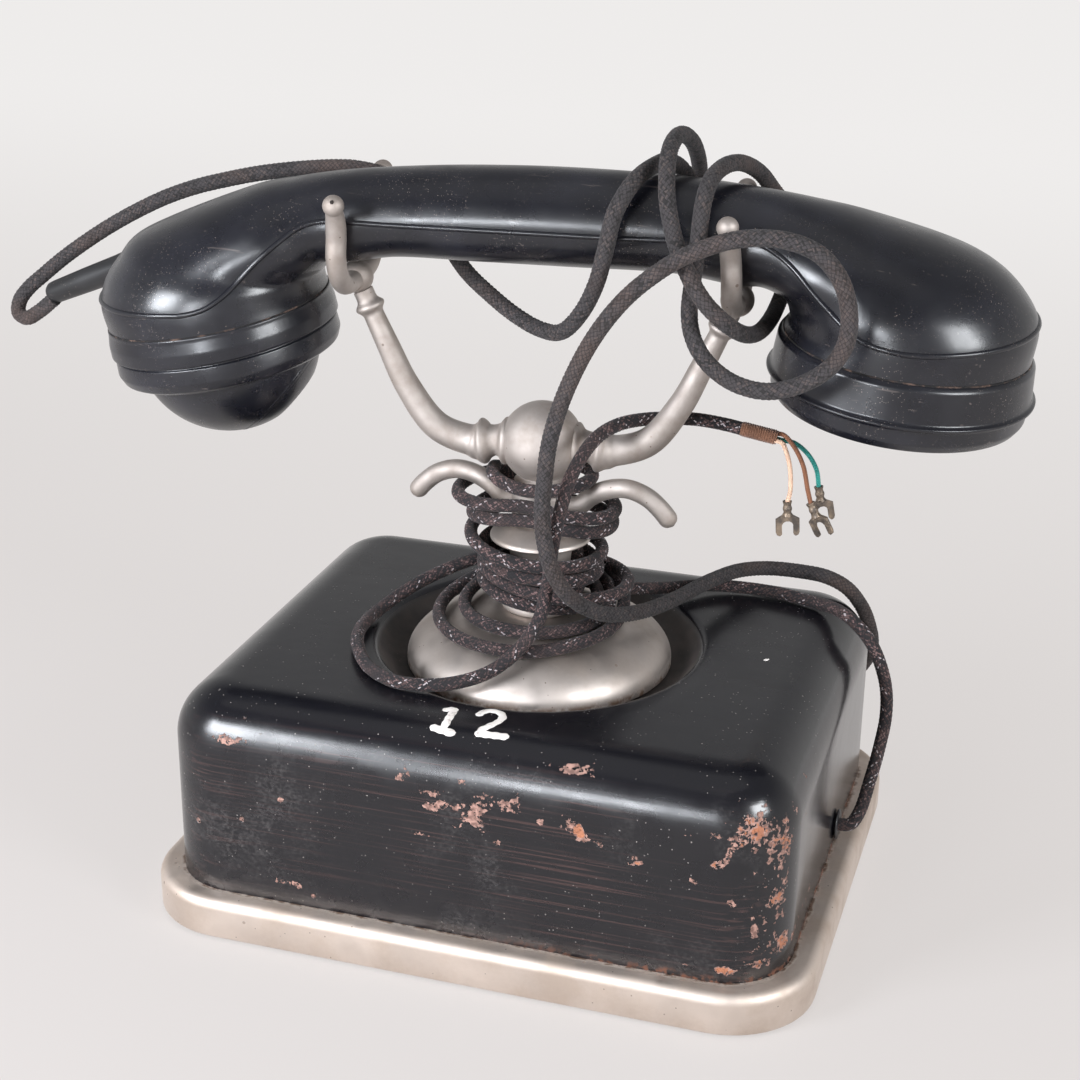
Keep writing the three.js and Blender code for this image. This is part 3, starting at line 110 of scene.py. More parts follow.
# %% [markdown]
# ## Meshes from rings
#
# Nearly every piece of this telephone is a stack of rings: a turned dome, a bent bar, a cord, even the
# handset. So one helper joins rings of points into a skin, and the others only work out the rings.
# Blender shades a mesh smooth or flat, and a metal piece needs both: smooth over its curves, and sharp
# where two faces meet at a clear angle.

# %% A skin through rings of points
def add_mesh(name, points, faces, material, sharp=38.0, around=None):
    """A mesh object from points in millimetres; around gives each face corner its weave place."""
    mesh = bpy.data.meshes.new(name)
    mesh.from_pydata((np.asarray(points, float) * MM).tolist(), [], faces)
    mesh.polygons.foreach_set("use_smooth", [True] * len(mesh.polygons))
    if sharp is not None:
        mesh.set_sharp_from_angle(angle=math.radians(sharp))
    if around is not None:
        layer = mesh.uv_layers.new(name="weave")
        layer.data.foreach_set("uv", np.asarray(around, np.float32).ravel())
    mesh.materials.append(material)
    piece = bpy.data.objects.new(name, mesh)
    bpy.context.scene.collection.objects.link(piece)
    return piece


def grid_faces(rings, sides, ends=True):
    """Quads between neighbouring rings, and a cap at each end."""
    faces = []
    for ring in range(rings - 1):
        start = ring * sides
        for side in range(sides):
            following = (side + 1) % sides
            faces.append((start + side, start + following, start + sides + following, start + sides + side))
    if ends:
        faces.append(tuple(range(sides - 1, -1, -1)))
        last = (rings - 1) * sides
        faces.append(tuple(range(last, last + sides)))
    return faces


def skin(name, rings, material, ends=True, sharp=38.0):
    """One skin through rings that all have the same number of points."""
    rings = np.asarray(rings, float)
    count, sides, _ = rings.shape
    return add_mesh(name, rings.reshape(-1, 3), grid_faces(count, sides, ends), material, sharp)


print(f"three rings of four points give {len(grid_faces(3, 4))} faces")

# %% A round piece, as from a lathe
def eased(profile, radius=0.5, steps=4):
    """The profile with each corner between its ends rounded off, as a lathe hand breaks an edge."""
    points = [np.array(point, float) for point in profile]
    result = [points[0]]
    for before, corner, after in zip(points, points[1:], points[2:]):
        back, onward = before - corner, after - corner
        room = 0.45 * min(np.linalg.norm(back), np.linalg.norm(onward))
        cut = min(radius, room)
        start = corner + back / np.linalg.norm(back) * cut
        end = corner + onward / np.linalg.norm(onward) * cut
        for step in range(steps + 1):
            share = step / steps
            result.append((1 - share) ** 2 * start + 2 * share * (1 - share) * corner + share ** 2 * end)
    result.append(points[-1])
    return result


def turned_rings(profile, segments=96):
    """Rings round the Z axis through a profile of distance and height."""
    angles = np.arange(segments) * 2 * math.pi / segments
    circle = np.stack([np.cos(angles), np.sin(angles)], axis=1)
    rings = [np.column_stack([circle * max(reach, NEAR_AXIS), np.full(segments, height)])
             for reach, height in profile]
    return np.array(rings)


disc = turned_rings(eased([(0, 0), (10, 0), (10, 2), (0, 2)]))
print(f"a plain disc with eased edges has {len(disc)} rings")

# %% A bar or tube along a path
def smooth_route(points, spacing=1.0):
    """Evenly spaced points on a smooth curve through the given ones (a centripetal spline)."""
    points = np.asarray(points, float)
    first = 2 * points[0] - points[1]
    last = 2 * points[-1] - points[-2]
    padded = np.vstack([first, points, last])
    fine = []
    for p0, p1, p2, p3 in zip(padded, padded[1:], padded[2:], padded[3:]):
        knots = np.cumsum([0] + [np.linalg.norm(b - a) ** 0.5 for a, b in ((p0, p1), (p1, p2), (p2, p3))])
        t0, t1, t2, t3 = knots
        steps = max(int(np.linalg.norm(p2 - p1) / spacing * 3), 4)
        for t in np.linspace(t1, t2, steps, endpoint=False):
            a1 = (t1 - t) / (t1 - t0) * p0 + (t - t0) / (t1 - t0) * p1
            a2 = (t2 - t) / (t2 - t1) * p1 + (t - t1) / (t2 - t1) * p2
            a3 = (t3 - t) / (t3 - t2) * p2 + (t - t2) / (t3 - t2) * p3
            b1 = (t2 - t) / (t2 - t0) * a1 + (t - t0) / (t2 - t0) * a2
            b2 = (t3 - t) / (t3 - t1) * a2 + (t - t1) / (t3 - t1) * a3
            fine.append((t2 - t) / (t2 - t1) * b1 + (t - t1) / (t2 - t1) * b2)
    fine.append(points[-1])
    return evenly(np.array(fine), spacing)


def route_length(points):
    return float(np.linalg.norm(np.diff(points, axis=0), axis=1).sum())


def evenly(points, spacing):
    """The same line with its points a set distance apart."""
    lengths = np.concatenate([[0], np.cumsum(np.linalg.norm(np.diff(points, axis=0), axis=1))])
    count = max(int(round(lengths[-1] / spacing)), 2)
    wanted = np.linspace(0, lengths[-1], count + 1)
    return np.column_stack([np.interp(wanted, lengths, points[:, axis]) for axis in range(3)])


def carried_frames(points):
    """For each point a side and an up direction, carried along the path without twisting."""
    tangents = np.gradient(points, axis=0)
    tangents /= np.linalg.norm(tangents, axis=1)[:, None]
    side = np.array([0.0, 1.0, 0.0])
    if abs(tangents[0][1]) > 0.9:
        side = np.array([1.0, 0.0, 0.0])
    sides, ups = [], []
    for tangent in tangents:
        side = side - tangent * side.dot(tangent)
        side /= np.linalg.norm(side)
        sides.append(side)
        ups.append(np.cross(tangent, side))
    return tangents, np.array(sides), np.array(ups)


def tube_rings(points, radii, sides):
    """Rings along a path; radii is one number, one per point, or one per point and side."""
    _, across, up = carried_frames(points)
    angles = np.arange(sides) * 2 * math.pi / sides
    radii = np.asarray(radii, float)
    if radii.ndim < 2:
        radii = np.broadcast_to(radii.reshape(-1, 1), (len(points), sides))
    ring = across[:, None, :] * np.cos(angles)[None, :, None] + up[:, None, :] * np.sin(angles)[None, :, None]
    return points[:, None, :] + ring * radii[:, :, None]


sample = smooth_route([[0, 0, 0], [10, 0, 4], [20, 0, 0]])
print(f"a smooth route keeps its points {np.linalg.norm(sample[1] - sample[0]):.2f} mm apart")

# %% [markdown]
# ## Two leaning groups
#
# The cradle is turned a little on the pedestal, and the handset leans a little in the cradle's forks.
# Their pieces are easier to draw straight, so two helpers put drawn points into place, just as two
# nested groups would.

# %% The cradle's turn and the handset's lean
CRADLE_TURN = math.radians(6.4)
HANDSET_ROLL = math.radians(3.2)
HUB_HEIGHT = 166.0


def in_cradle(points):
    cos, sin = math.cos(CRADLE_TURN), math.sin(CRADLE_TURN)
    matrix = np.array([[cos, -sin, 0], [sin, cos, 0], [0, 0, 1]])
    return np.asarray(points, float) @ matrix.T


def in_handset(points):
    cos, sin = math.cos(HANDSET_ROLL), math.sin(HANDSET_ROLL)
    matrix = np.array([[1, 0, 0], [0, cos, -sin], [0, sin, cos]])
    return in_cradle(np.asarray(points, float) @ matrix.T + [0, 0, HUB_HEIGHT])


print("the handset's middle stands at", in_handset([0, 0, 18]).round(1), "mm")

# %% [markdown]
# ## Materials from nodes
#
# A real finish is never one flat colour. Paint chips and streaks, nickel clouds over and pits, and
# hard rubber gathers dust. Each finish below starts from the same few tools: a noise that varies slowly
# or quickly in the object's own coordinates, a soft step that turns a noise into a mask of patches, sums
# and products that join masks, and a mix of two colours by a mask.

# %% Small tools for node trees
def new_material(name, colour, roughness, metallic=0.0):
    material = bpy.data.materials.new(name)
    material.use_nodes = True
    shader = material.node_tree.nodes["Principled BSDF"]
    shader.inputs["Base Color"].default_value = (*colour, 1)
    shader.inputs["Roughness"].default_value = roughness
    shader.inputs["Metallic"].default_value = metallic
    return material, material.node_tree, shader


def add_node(tree, kind, inputs=None, **settings):
    """A node with its settings; each input gets a number, a colour or another node's output."""
    node = tree.nodes.new(kind)
    for key, value in settings.items():
        setattr(node, key, value)
    for key, value in (inputs or {}).items():
        if isinstance(value, bpy.types.NodeSocket):
            tree.links.new(value, node.inputs[key])
        else:
            node.inputs[key].default_value = value
    return node


def place(tree):
    return add_node(tree, "ShaderNodeTexCoord").outputs["Object"]


def noise(tree, scale, detail, stretch=(1, 1, 1)):
    """Noise whose scale counts its waves per metre; stretch makes streaks."""
    vector = place(tree)
    if stretch != (1, 1, 1):
        vector = add_node(tree, "ShaderNodeMapping", {"Vector": vector, "Scale": stretch}).outputs[0]
    settings = {"Vector": vector, "Scale": scale, "Detail": detail, "Roughness": 0.55}
    return add_node(tree, "ShaderNodeTexNoise", settings).outputs["Fac"]


def soft_step(tree, value, low, high):
    """0 below low and 1 above high, with a smooth rise between."""
    settings = {"Value": value, "From Min": low, "From Max": high}
    return add_node(tree, "ShaderNodeMapRange", settings, interpolation_type="SMOOTHSTEP").outputs[0]


def remap(tree, value, low, high):
    """A noise that runs about from 0.25 to 0.75, brought to run from low to high."""
    settings = {"Value": value, "From Min": 0.25, "From Max": 0.75, "To Min": low, "To Max": high}
    return add_node(tree, "ShaderNodeMapRange", settings).outputs[0]


def maths(tree, operation, first, second=0.0):
    return add_node(tree, "ShaderNodeMath", {0: first, 1: second}, operation=operation).outputs[0]


def times(tree, first, second):
    return maths(tree, "MULTIPLY", first, second)


def plus(tree, first, second):
    return maths(tree, "ADD", first, second)


def minus(tree, first, second):
    return maths(tree, "SUBTRACT", first, second)


def most(tree, first, second):
    """The larger of two values, which joins two masks."""
    return maths(tree, "MAXIMUM", first, second)


def patches(tree, scale, detail, low, high, stretch=(1, 1, 1)):
    """A mask of soft patches: 0 where a noise is below low and 1 where it is above high."""
    return soft_step(tree, noise(tree, scale, detail, stretch), low, high)


def axes_of(tree, vector):
    """A vector's three parts."""
    return add_node(tree, "ShaderNodeSeparateXYZ", {"Vector": vector}).outputs


def length_of(tree, vector):
    return add_node(tree, "ShaderNodeVectorMath", {0: vector}, operation="LENGTH").outputs["Value"]


def blend_colours(tree, mask, first, second):
    first, second = (colour if isinstance(colour, bpy.types.NodeSocket) else (*colour, 1)
                     for colour in (first, second))
    return add_node(tree, "ShaderNodeMix", {0: mask, 6: first, 7: second}, data_type="RGBA").outputs[2]


def bumped(tree, shader, height, distance, strength=1.0, before=None):
    """Joins a height, in metres, to the shader's normal."""
    settings = {"Height": height, "Distance": distance, "Strength": strength}
    if before is not None:
        settings["Normal"] = before
    bump = add_node(tree, "ShaderNodeBump", settings)
    tree.links.new(bump.outputs["Normal"], shader.inputs["Normal"])
    return bump.outputs["Normal"]


def join(tree, output, shader, name):
    tree.links.new(output, shader.inputs[name])


def specks(tree, scale, size, share):
    """Round specks: cells of a Voronoi pattern, of which a share holds a dot of that size."""
    settings = {"Vector": place(tree), "Scale": scale}
    cells = add_node(tree, "ShaderNodeTexVoronoi", settings)
    fading = {"Value": cells.outputs["Distance"], "From Min": size * 1.5, "From Max": size}
    dot = add_node(tree, "ShaderNodeMapRange", fading).outputs[0]
    lot = add_node(tree, "ShaderNodeSeparateColor", {"Color": cells.outputs["Color"]}).outputs[0]
    return times(tree, dot, maths(tree, "LESS_THAN", lot, share))


print("tools ready for the finishes")

# %% [markdown]
# ## Textile cords
#
# Both cords of this telephone are rubber-covered wires in a plaited cotton jacket. A plait is two sets
# of strands that wind round the cord in opposite directions and cross over and under by turns. The
# helper below raises the skin of a tube wherever a strand passes on top. It also gives every face its
# place in the weave, how far round and how far along, so that the dye can follow the same strands.

# %% A plaited cord
def plaited_cord(name, path, diameter, strands, pitch, depth, sides, material):
    """A tube along path whose surface rises and falls with its strands."""
    path = np.asarray(path, float)
    along = np.concatenate([[0], np.cumsum(np.linalg.norm(np.diff(path, axis=0), axis=1))])
    around = np.arange(sides) / sides
    first = along[:, None] / pitch + strands * around[None, :]
    second = along[:, None] / pitch - strands * around[None, :]
    first_on_top = (np.floor(first) + np.floor(second)) % 2 < 1
    one, two = np.sin(np.pi * (first % 1)), np.sin(np.pi * (second % 1))
    crest = np.where(first_on_top, np.sqrt(one) * (0.55 + 0.45 * two), np.sqrt(two) * (0.55 + 0.45 * one))
    rings = tube_rings(path, diameter / 2 - depth * (1 - crest), sides)
    corner_around = np.array([[side / sides, (side + 1) / sides] for side in range(sides)])
    weave = np.zeros((len(path) - 1, sides, 4, 2))
    weave[:, :, (0, 3), 0] = corner_around[None, :, 0, None]
    weave[:, :, (1, 2), 0] = corner_around[None, :, 1, None]
    weave[:, :, (0, 1), 1] = along[:-1, None, None]
    weave[:, :, (2, 3), 1] = along[1:, None, None]
    corners = np.vstack([weave.reshape(-1, 2), np.zeros((2 * sides, 2))])
    faces = grid_faces(len(path), sides)
    return add_mesh(name, rings.reshape(-1, 3), faces, material, None, corners)


print("a plait can be laid along any path")

# %% Cotton that follows the plait
YARNS = 2


def plait_finish(name, strands, pitch, colours, shares, fleck_length, faded):
    """A cotton jacket: each strand takes one of the colours, changed at random along its length, and the gaps
    between strands are darkened as painted shade.
    """
    material, tree, shader = new_material(name, colours[0], 0.92)
    weave = add_node(tree, "ShaderNodeUVMap", uv_map="weave").outputs[0]
    around, along, _ = axes_of(tree, weave)
    turn = times(tree, around, strands)
    travel = maths(tree, "DIVIDE", along, pitch)
    first = plus(tree, travel, turn)
    second = minus(tree, travel, turn)
    first_row, second_row = maths(tree, "FLOOR", first), maths(tree, "FLOOR", second)
    under = maths(tree, "FLOORED_MODULO", plus(tree, first_row, second_row), 2)
    first_yarn = maths(tree, "FLOOR", times(tree, first, YARNS))
    second_yarn = maths(tree, "FLOOR", times(tree, second, YARNS))
    first_strand = maths(tree, "FLOORED_MODULO", first_yarn, strands * YARNS)
    second_strand = plus(tree, maths(tree, "FLOORED_MODULO", second_yarn, strands * YARNS), strands * YARNS)
    swap = times(tree, minus(tree, second_strand, first_strand), under)
    strand = plus(tree, first_strand, swap)
    stretch = maths(tree, "FLOOR", maths(tree, "DIVIDE", along, fleck_length))
    cell = add_node(tree, "ShaderNodeCombineXYZ", {"X": strand, "Y": stretch})
    lot = add_node(tree, "ShaderNodeTexWhiteNoise", {"Vector": cell.outputs[0]}).outputs["Value"]
    colour = colours[0]
    for other, share in zip(colours[1:], shares):
        colour = blend_colours(tree, maths(tree, "LESS_THAN", lot, share), colour, other)
    fuzz = noise(tree, 2600, 2)
    worn = patches(tree, 45, 4, 0.48, 0.72)
    shade = blend_colours(tree, times(tree, worn, 0.4), colour, faded)
    # Near black in the gaps between strands, by the height of the plait: painted shade in its crevices.
    on_top = plus(tree, first, times(tree, minus(tree, second, first), under))
    crest = maths(tree, "SINE", times(tree, maths(tree, "FRACT", on_top), math.pi))
    gap = soft_step(tree, crest, 0.75, 0.1)
    join(tree, blend_colours(tree, times(tree, gap, 0.85), shade, (0.006, 0.005, 0.005)), shader,
         "Base Color")
    bumped(tree, shader, fuzz, 0.00012, 0.6)
    shader.inputs["Sheen Weight"].default_value = 0.04
    shader.inputs["Sheen Roughness"].default_value = 0.5
    return material


HANDSET_CORD = 4.4
HANDSET_STRANDS = 10
HANDSET_PITCH = 1.5
LINE_CORD = 3.7
LINE_STRANDS = 11
LINE_PITCH = 1.3
black_braid = plait_finish("black_braid", HANDSET_STRANDS, HANDSET_PITCH,
                           [(0.038, 0.033, 0.034), (0.064, 0.049, 0.046), (0.015, 0.013, 0.013)],
                           [0.35, 0.18], 4.0, (0.090, 0.054, 0.041))
tweed = plait_finish("tweed", LINE_STRANDS, LINE_PITCH,
                     [(0.014, 0.012, 0.014), (0.060, 0.036, 0.034), (0.15, 0.092, 0.088), (0.40, 0.35, 0.36)],
                     [0.42, 0.13, 0.030], 2.6, (0.060, 0.040, 0.038))
print("two cotton jackets")

# %% [markdown]
# ## Where the handset's cord runs
#
# The cord leaves the rubber sleeve behind the speaking head, turns back over the handle, and is tangled
# three times through the right fork. From there it hangs down past the ball, lies over the case and
# drops behind it to its bush. It is one cord on the real telephone. Here it has two pieces that meet
# beside the column.

# %% The handset's cord
CORD_MEETING = [18.4, -22.1, 87.5]
handset_bush = [60, 69, 19]
handset_route = [
    [-149.6, 7.6, 147.6], [-156.9, 9.6, 142.2], [-161, 10.1, 140], [-164.3, 11.3, 141],
    [-164.2, 12.3, 144.4], [-161.4, 13.1, 148.2], [-157, 13.6, 152], [-149.7, 13.5, 157.8],
    [-142.2, 13.4, 163.1], [-134, 13.4, 168.4], [-124.5, 13.4, 173.8], [-114.9, 13.4, 178.5],
    [-105.7, 13.4, 182], [-96.7, 13.3, 184.6], [-87.9, 13.3, 186.8], [-78.9, 12.8, 188.6],
    [-70.1, 12.1, 190], [-62.4, 11, 191], [-55.4, 9.6, 191.4], [-47.4, 10.4, 189.6], [-39.6, 12.6, 182.4],
    [-32.5, 14, 172.9], [-24.9, 9.4, 166.2], [-16, 3.2, 162.1], [-7.3, -1.8, 158.6], [1.2, -6.9, 156.9],
    [8.4, -12, 158.2], [14.9, -16.4, 164.9], [19.3, -18.6, 173.4], [21.5, -18.8, 182], [23, -17.2, 190.3],
    [25, -13.8, 195.6], [26.9, -8.1, 198.8], [28.6, 0.2, 200], [29.6, 9.4, 199.4], [31.1, 17.8, 196.2],
    [32.9, 22.6, 191.3], [33.9, 26.4, 185.3], [33.6, 32.9, 180.9], [32.3, 39.8, 180.7], [31.4, 41.8, 185.2],
    [31.6, 37.7, 191.4], [32.6, 29.8, 197.4], [33, 20.8, 202.7], [32.7, 11.7, 206], [32.8, 2.7, 206.4],
    [33.4, -5.3, 204.3], [34.5, -11.2, 200.6], [35.7, -15.1, 195.6], [37.4, -17.4, 190],
    [39.2, -19.2, 185.6], [41.9, -22, 181.6], [45.1, -25.1, 177.5], [48.7, -26.2, 173.1],
    [52.4, -25.3, 169.3], [55.7, -19.9, 165], [57.4, -7.7, 161.2], [57.8, 8.5, 160], [57.8, 22.6, 162.2],
    [58.2, 31.2, 167.2], [58.1, 35.7, 172.5], [57, 36.6, 179], [55.2, 34.4, 185.2], [52.9, 30.6, 189.8],
    [51.1, 23.8, 194.8], [49, 16.6, 198.4], [47.3, 7.3, 200.6], [45.8, -0.9, 200.7], [44.9, -7.5, 199.3],
    [44.6, -12.8, 196.2], [44.6, -16, 191.9], [44.6, -18, 186.1], [44.3, -19, 180.9], [43.9, -19.8, 175.5],
    [43.6, -20.4, 169.4], [44.5, -21.2, 164.2], [47, -22.2, 159.6], [51.2, -23.4, 155.8],
    [57.3, -25, 153.2], [65, -26.4, 152.7], [72.7, -27.4, 155.3], [79.7, -27.8, 160.3],
    [83.5, -27.9, 167.1], [83.6, -27.3, 174.3], [80.9, -26.2, 181.6], [75.7, -25.4, 186.9],
    [69.1, -25.2, 189.4], [61.8, -25.2, 189.8], [54.5, -25.4, 188.7], [47.6, -26, 186.2], [42, -27, 183.4],
    [36.6, -28.5, 179.6], [31, -29.7, 174.6], [25.8, -30.3, 168.3], [20.8, -29.9, 160.4],
    [16.4, -29.4, 151.3], [13.2, -29.2, 142.6], [11, -29.5, 133.7], [10, -29.6, 124.6], [9.6, -30.1, 114.9],
    [10.5, -30, 106.7], [12.1, -28.8, 99.5], [15, -26.5, 92.8], CORD_MEETING,
]
handset_cord_low = [
    CORD_MEETING, [22, -16.2, 83.4], [26, -8.4, 80.4], [30.6, 3, 77.9], [35.2, 18.8, 75.8],
    [40.1, 34.8, 74.8], [45.9, 48.6, 73.4], [53.1, 57.4, 71.6], [61.7, 59.6, 71], [69.7, 58.6, 70.8],
    [75.6, 60.6, 67.4], [79.8, 65, 60.4], [82, 70.2, 52], [82.6, 75.6, 43], [79.8, 80.6, 34],
    [73.4, 82.4, 26], [65.4, 80.4, 20.4], [handset_bush[0], handset_bush[1] + 5, handset_bush[2]],
    [handset_bush[0], handset_bush[1] + 0.6, handset_bush[2]],
]
CORD_STEP = 0.45
handset_jacket = {"diameter": HANDSET_CORD, "strands": HANDSET_STRANDS, "pitch": HANDSET_PITCH,
                  "depth": 0.40, "sides": 32, "material": black_braid}
upper_path = smooth_route(handset_route, CORD_STEP)
lower_path = smooth_route(handset_cord_low, CORD_STEP)
upper_cord = plaited_cord("handset_cord_upper_plait", upper_path, **handset_jacket)
lower_cord = plaited_cord("handset_cord_lower_plait", lower_path, **handset_jacket)
print(f"handset cord {route_length(upper_path):.0f} + {route_length(lower_path):.0f} mm")

# %% [markdown]
# ## Where the line cord runs
#
# The line cord leaves the case on the right and is wound on the pedestal as one would store it: round
# the waist of the column, over the two hooks, under them, and loosely down the outside. A winding is
# easiest to describe as a list of stations. Each says how many turns have gone by, how far the cord
# lies from the column's axis, and how high. A smooth curve fills in between stations.

# %% A smooth curve through stations
def through_stations(places, values, wanted):
    """Values between stations, on a smooth curve through them."""
    places, values = np.asarray(places, float), np.asarray(values, float)
    before = np.maximum(np.arange(len(places)) - 1, 0)
    after = np.minimum(np.arange(len(places)) + 1, len(places) - 1)
    slopes = (values[after] - values[before]) / (places[after] - places[before])
    wanted = np.asarray(wanted, float)
    index = np.clip(np.searchsorted(places, wanted, side="left") - 1, 0, len(places) - 2)
    width = places[index + 1] - places[index]
    u = (wanted - places[index]) / width
    start = values[index] * (2 * u ** 3 - 3 * u ** 2 + 1) + slopes[index] * width * (u ** 3 - 2 * u ** 2 + u)
    end = values[index + 1] * (3 * u ** 2 - 2 * u ** 3) + slopes[index + 1] * width * (u ** 3 - u ** 2)
    return start + end


print("halfway between stations 0 and 10 the curve is at", through_stations([0, 1], [0, 10], 0.5).item())

# %% The line cord's winding
SAUCER_TOP = 97.8
outer_stations = []
for quarter in range(11):
    slope = [2.2, 0.2, -1.6, 0.8][quarter % 4]
    outer_stations.append([6.25 + quarter / 4, 15.8, SAUCER_TOP - 6.4 - 3.9 * quarter / 4 + slope])
outer_stations[0][1] += 0.5
outer_stations[6][1:] = [24.5, 84.9]
winding_stations = [
    [-0.1, 21.5, 76.7], [0, 17.6, 77.2], [0.1, 15.2, 78.2], [0.25, 13, 80.2], [0.5, 10.9, 81.5],
    [1, 10.9, 83.7], [1.75, 10.9, 87.3], [1.86, 11, 90], [1.93, 13.2, 92.8], [2, 16.4, 95.2],
    [2.06, 16.2, 100.6], [2.12, 14.6, 106.2], [2.19, 14.3, 112.9], [2.25, 13.7, 114.8], [2.5, 10.9, 113.5],
    [2.75, 13.7, 114.7], [3, 13, 113.6], [3.1, 17, 111.6], [3.25, 23.5, 108.2], [3.5, 12.4, 109.5],
    [3.75, 19.6, 105.2], [4, 20.6, 104.2], [4.25, 19.4, 102.4], [4.5, 12.2, 105.4], [4.75, 18.8, 101],
    [5, 20.8, 99.8], [5.25, 19.6, 97.8], [5.5, 16.4, 94.5], [5.75, 16, 92.2], [6, 20.2, 91.8],
    *outer_stations, [9, 16.2, 81.5], [9.1, 18.8, 80.8], [9.25, 20.6, 77.4], [9.5, 20.6, 76.8],
    [9.75, 19.3, 77.4], [10, 21.4, 81.8], [10.25, 27.4, 74.8], [10.5, 27.8, 74.2], [10.62, 25.6, 75.4],
    [10.75, 23.2, 76.4], [10.86, 24, 80.4], [11, 26.2, 81.6],
]
station_turns, station_reach, station_height = np.array(winding_stations).T
STEPS_PER_TURN = 24
first_turn, last_turn = station_turns[0], station_turns[-1]
turns = first_turn + np.arange(int((last_turn - first_turn) * STEPS_PER_TURN + 1e-6) + 1) / STEPS_PER_TURN
angles = math.pi / 2 + 2 * math.pi * turns
reach = through_stations(station_turns, station_reach, turns)
winding = np.column_stack([reach * np.cos(angles), reach * np.sin(angles),
                           through_stations(station_turns, station_height, turns)])
loose_loop = [
    [-15, 23.6, 81.6], [-26.2, 15, 79.8], [-37.7, 7, 75], [-46.2, -3.6, 69.6], [-47.2, -16, 68.5],
    [-42.7, -28, 68.5], [-34.7, -38.7, 68.5], [-24.3, -44, 68.5], [-11.5, -41.8, 69.2], [-1.6, -36, 72],
    [4.6, -30.6, 77.5], [8, -26, 84], [9.2, -24.2, 91.3],
]
print(f"the winding makes {last_turn - first_turn:.1f} turns")

# %% The line cord from the case to its tail
line_bush = [84.5, 10, 17]
toward_start = (winding[0] - winding[1]) / np.linalg.norm(winding[0] - winding[1])
line_route = [
    [line_bush[0] + 0.6, line_bush[1], line_bush[2]],
    [line_bush[0] + 4, line_bush[1] + 0.6, line_bush[2] + 0.2],
    [90.4, 13.6, 19.6], [91.8, 21.6, 26.2], [92.8, 29.4, 33.2], [93.2, 35, 40.4], [92.4, 37, 47.6],
    [90, 37, 55.7], [86.5, 35.4, 63.2], [81.6, 36.4, 67.6], [75.7, 40.4, 68.9], [67.8, 43.8, 68.7],
    [58.4, 46.8, 68.7], [47.9, 47.4, 68.7], [38, 44.6, 69.2], [30.6, 37.4, 70.6], [26, 28.4, 73.2],
    [21.2, 21, 75.4], list(winding[0] + toward_start * 4),
]
line_path = smooth_route(np.vstack([line_route, winding, loose_loop]), CORD_STEP)
WHIPPING_START = np.array([51.1, 13.5, 129])
WHIPPING_END = np.array([60.6, 14.5, 127.2])
whipping_axis = (WHIPPING_END - WHIPPING_START) / np.linalg.norm(WHIPPING_END - WHIPPING_START)
onward = line_path[-1] - line_path[-3]
onward /= np.linalg.norm(onward)
tail_route = [
    list(line_path[-1]), list(line_path[-1] + onward * 3), [10.2, -24.4, 99.4], [11.4, -24.6, 107.5],
    [12.8, -24, 115], [14.1, -21.6, 121.4], [15.8, -17, 126.6], [17.9, -9, 130], [21.2, -1, 131.2],
    [25.9, 6, 131], [32, 10, 130.8], [39.7, 12.2, 130.6], list(WHIPPING_START - whipping_axis * 4),
    list(WHIPPING_START + whipping_axis * 0.5),
]
tail_path = smooth_route(tail_route, CORD_STEP)
line_jacket = {"diameter": LINE_CORD, "strands": LINE_STRANDS, "pitch": LINE_PITCH, "depth": 0.24,
               "sides": 28, "material": tweed}
line_cord = plaited_cord("line_cord_plait", line_path, **line_jacket)
tail_cord = plaited_cord("line_cord_tail_plait", tail_path, **line_jacket)
print(f"line cord {route_length(line_path):.0f} + {route_length(tail_path):.0f} mm")

# %% [markdown]
# ## The line cord's bare end
#
# The last centimetre of the jacket is whipped with brown thread so that it can't fray. Three
# cotton-covered wires come out of it, pale, brown and green, and each ends in a stamped open lug that
# slides under a terminal screw. A lug is sheet metal, so it is an outline given a thickness, with a
# barrel pinched round the wire.

# %% Thread and cotton
def cotton(name, colour):
    material, tree, shader = new_material(name, colour, 0.9)
    tone = remap(tree, noise(tree, 220, 3), 0.75, 1.2)
    grey = add_node(tree, "ShaderNodeCombineColor", {"Red": tone, "Green": tone, "Blue": tone}).outputs[0]
    tinted = add_node(tree, "ShaderNodeMix", {0: 1.0, 6: (*colour, 1), 7: grey}, data_type="RGBA",
                      blend_type="MULTIPLY")
    join(tree, tinted.outputs[2], shader, "Base Color")
    bumped(tree, shader, noise(tree, 1500, 2), 0.00010, 0.7)
    shader.inputs["Sheen Weight"].default_value = 0.3
    return material


brown_thread = cotton("brown_thread", (0.17, 0.075, 0.04))

THREAD = 0.62
WHIPPING_RINGS = 130
whipping_path = np.linspace(WHIPPING_START, WHIPPING_END + whipping_axis * 0.2, WHIPPING_RINGS)
whipping_along = np.linspace(0, 1, WHIPPING_RINGS) * np.linalg.norm(WHIPPING_END - WHIPPING_START)
thread_ridge = 0.16 * np.abs(np.sin(np.pi * whipping_along / THREAD))
end_taper = np.clip(np.minimum(whipping_along, whipping_along[-1] - whipping_along) / 0.7, 0.25, 1) ** 0.5
whipping_radius = (LINE_CORD / 2 + 0.05 + thread_ridge) * (0.82 + 0.18 * end_taper)
whipping = skin("cord_whipping_thread", tube_rings(whipping_path, whipping_radius, 28), brown_thread,
                sharp=None)
print(f"{whipping_along[-1]:.1f} mm of whipping")

# %% Wires
WIRE = 1.3
WIRE_STEP = 0.25
COTTON_LAP = 0.8
COTTONS = {"pale": (0.72, 0.48, 0.34), "brown": (0.19, 0.075, 0.035), "green": (0.025, 0.26, 0.22)}


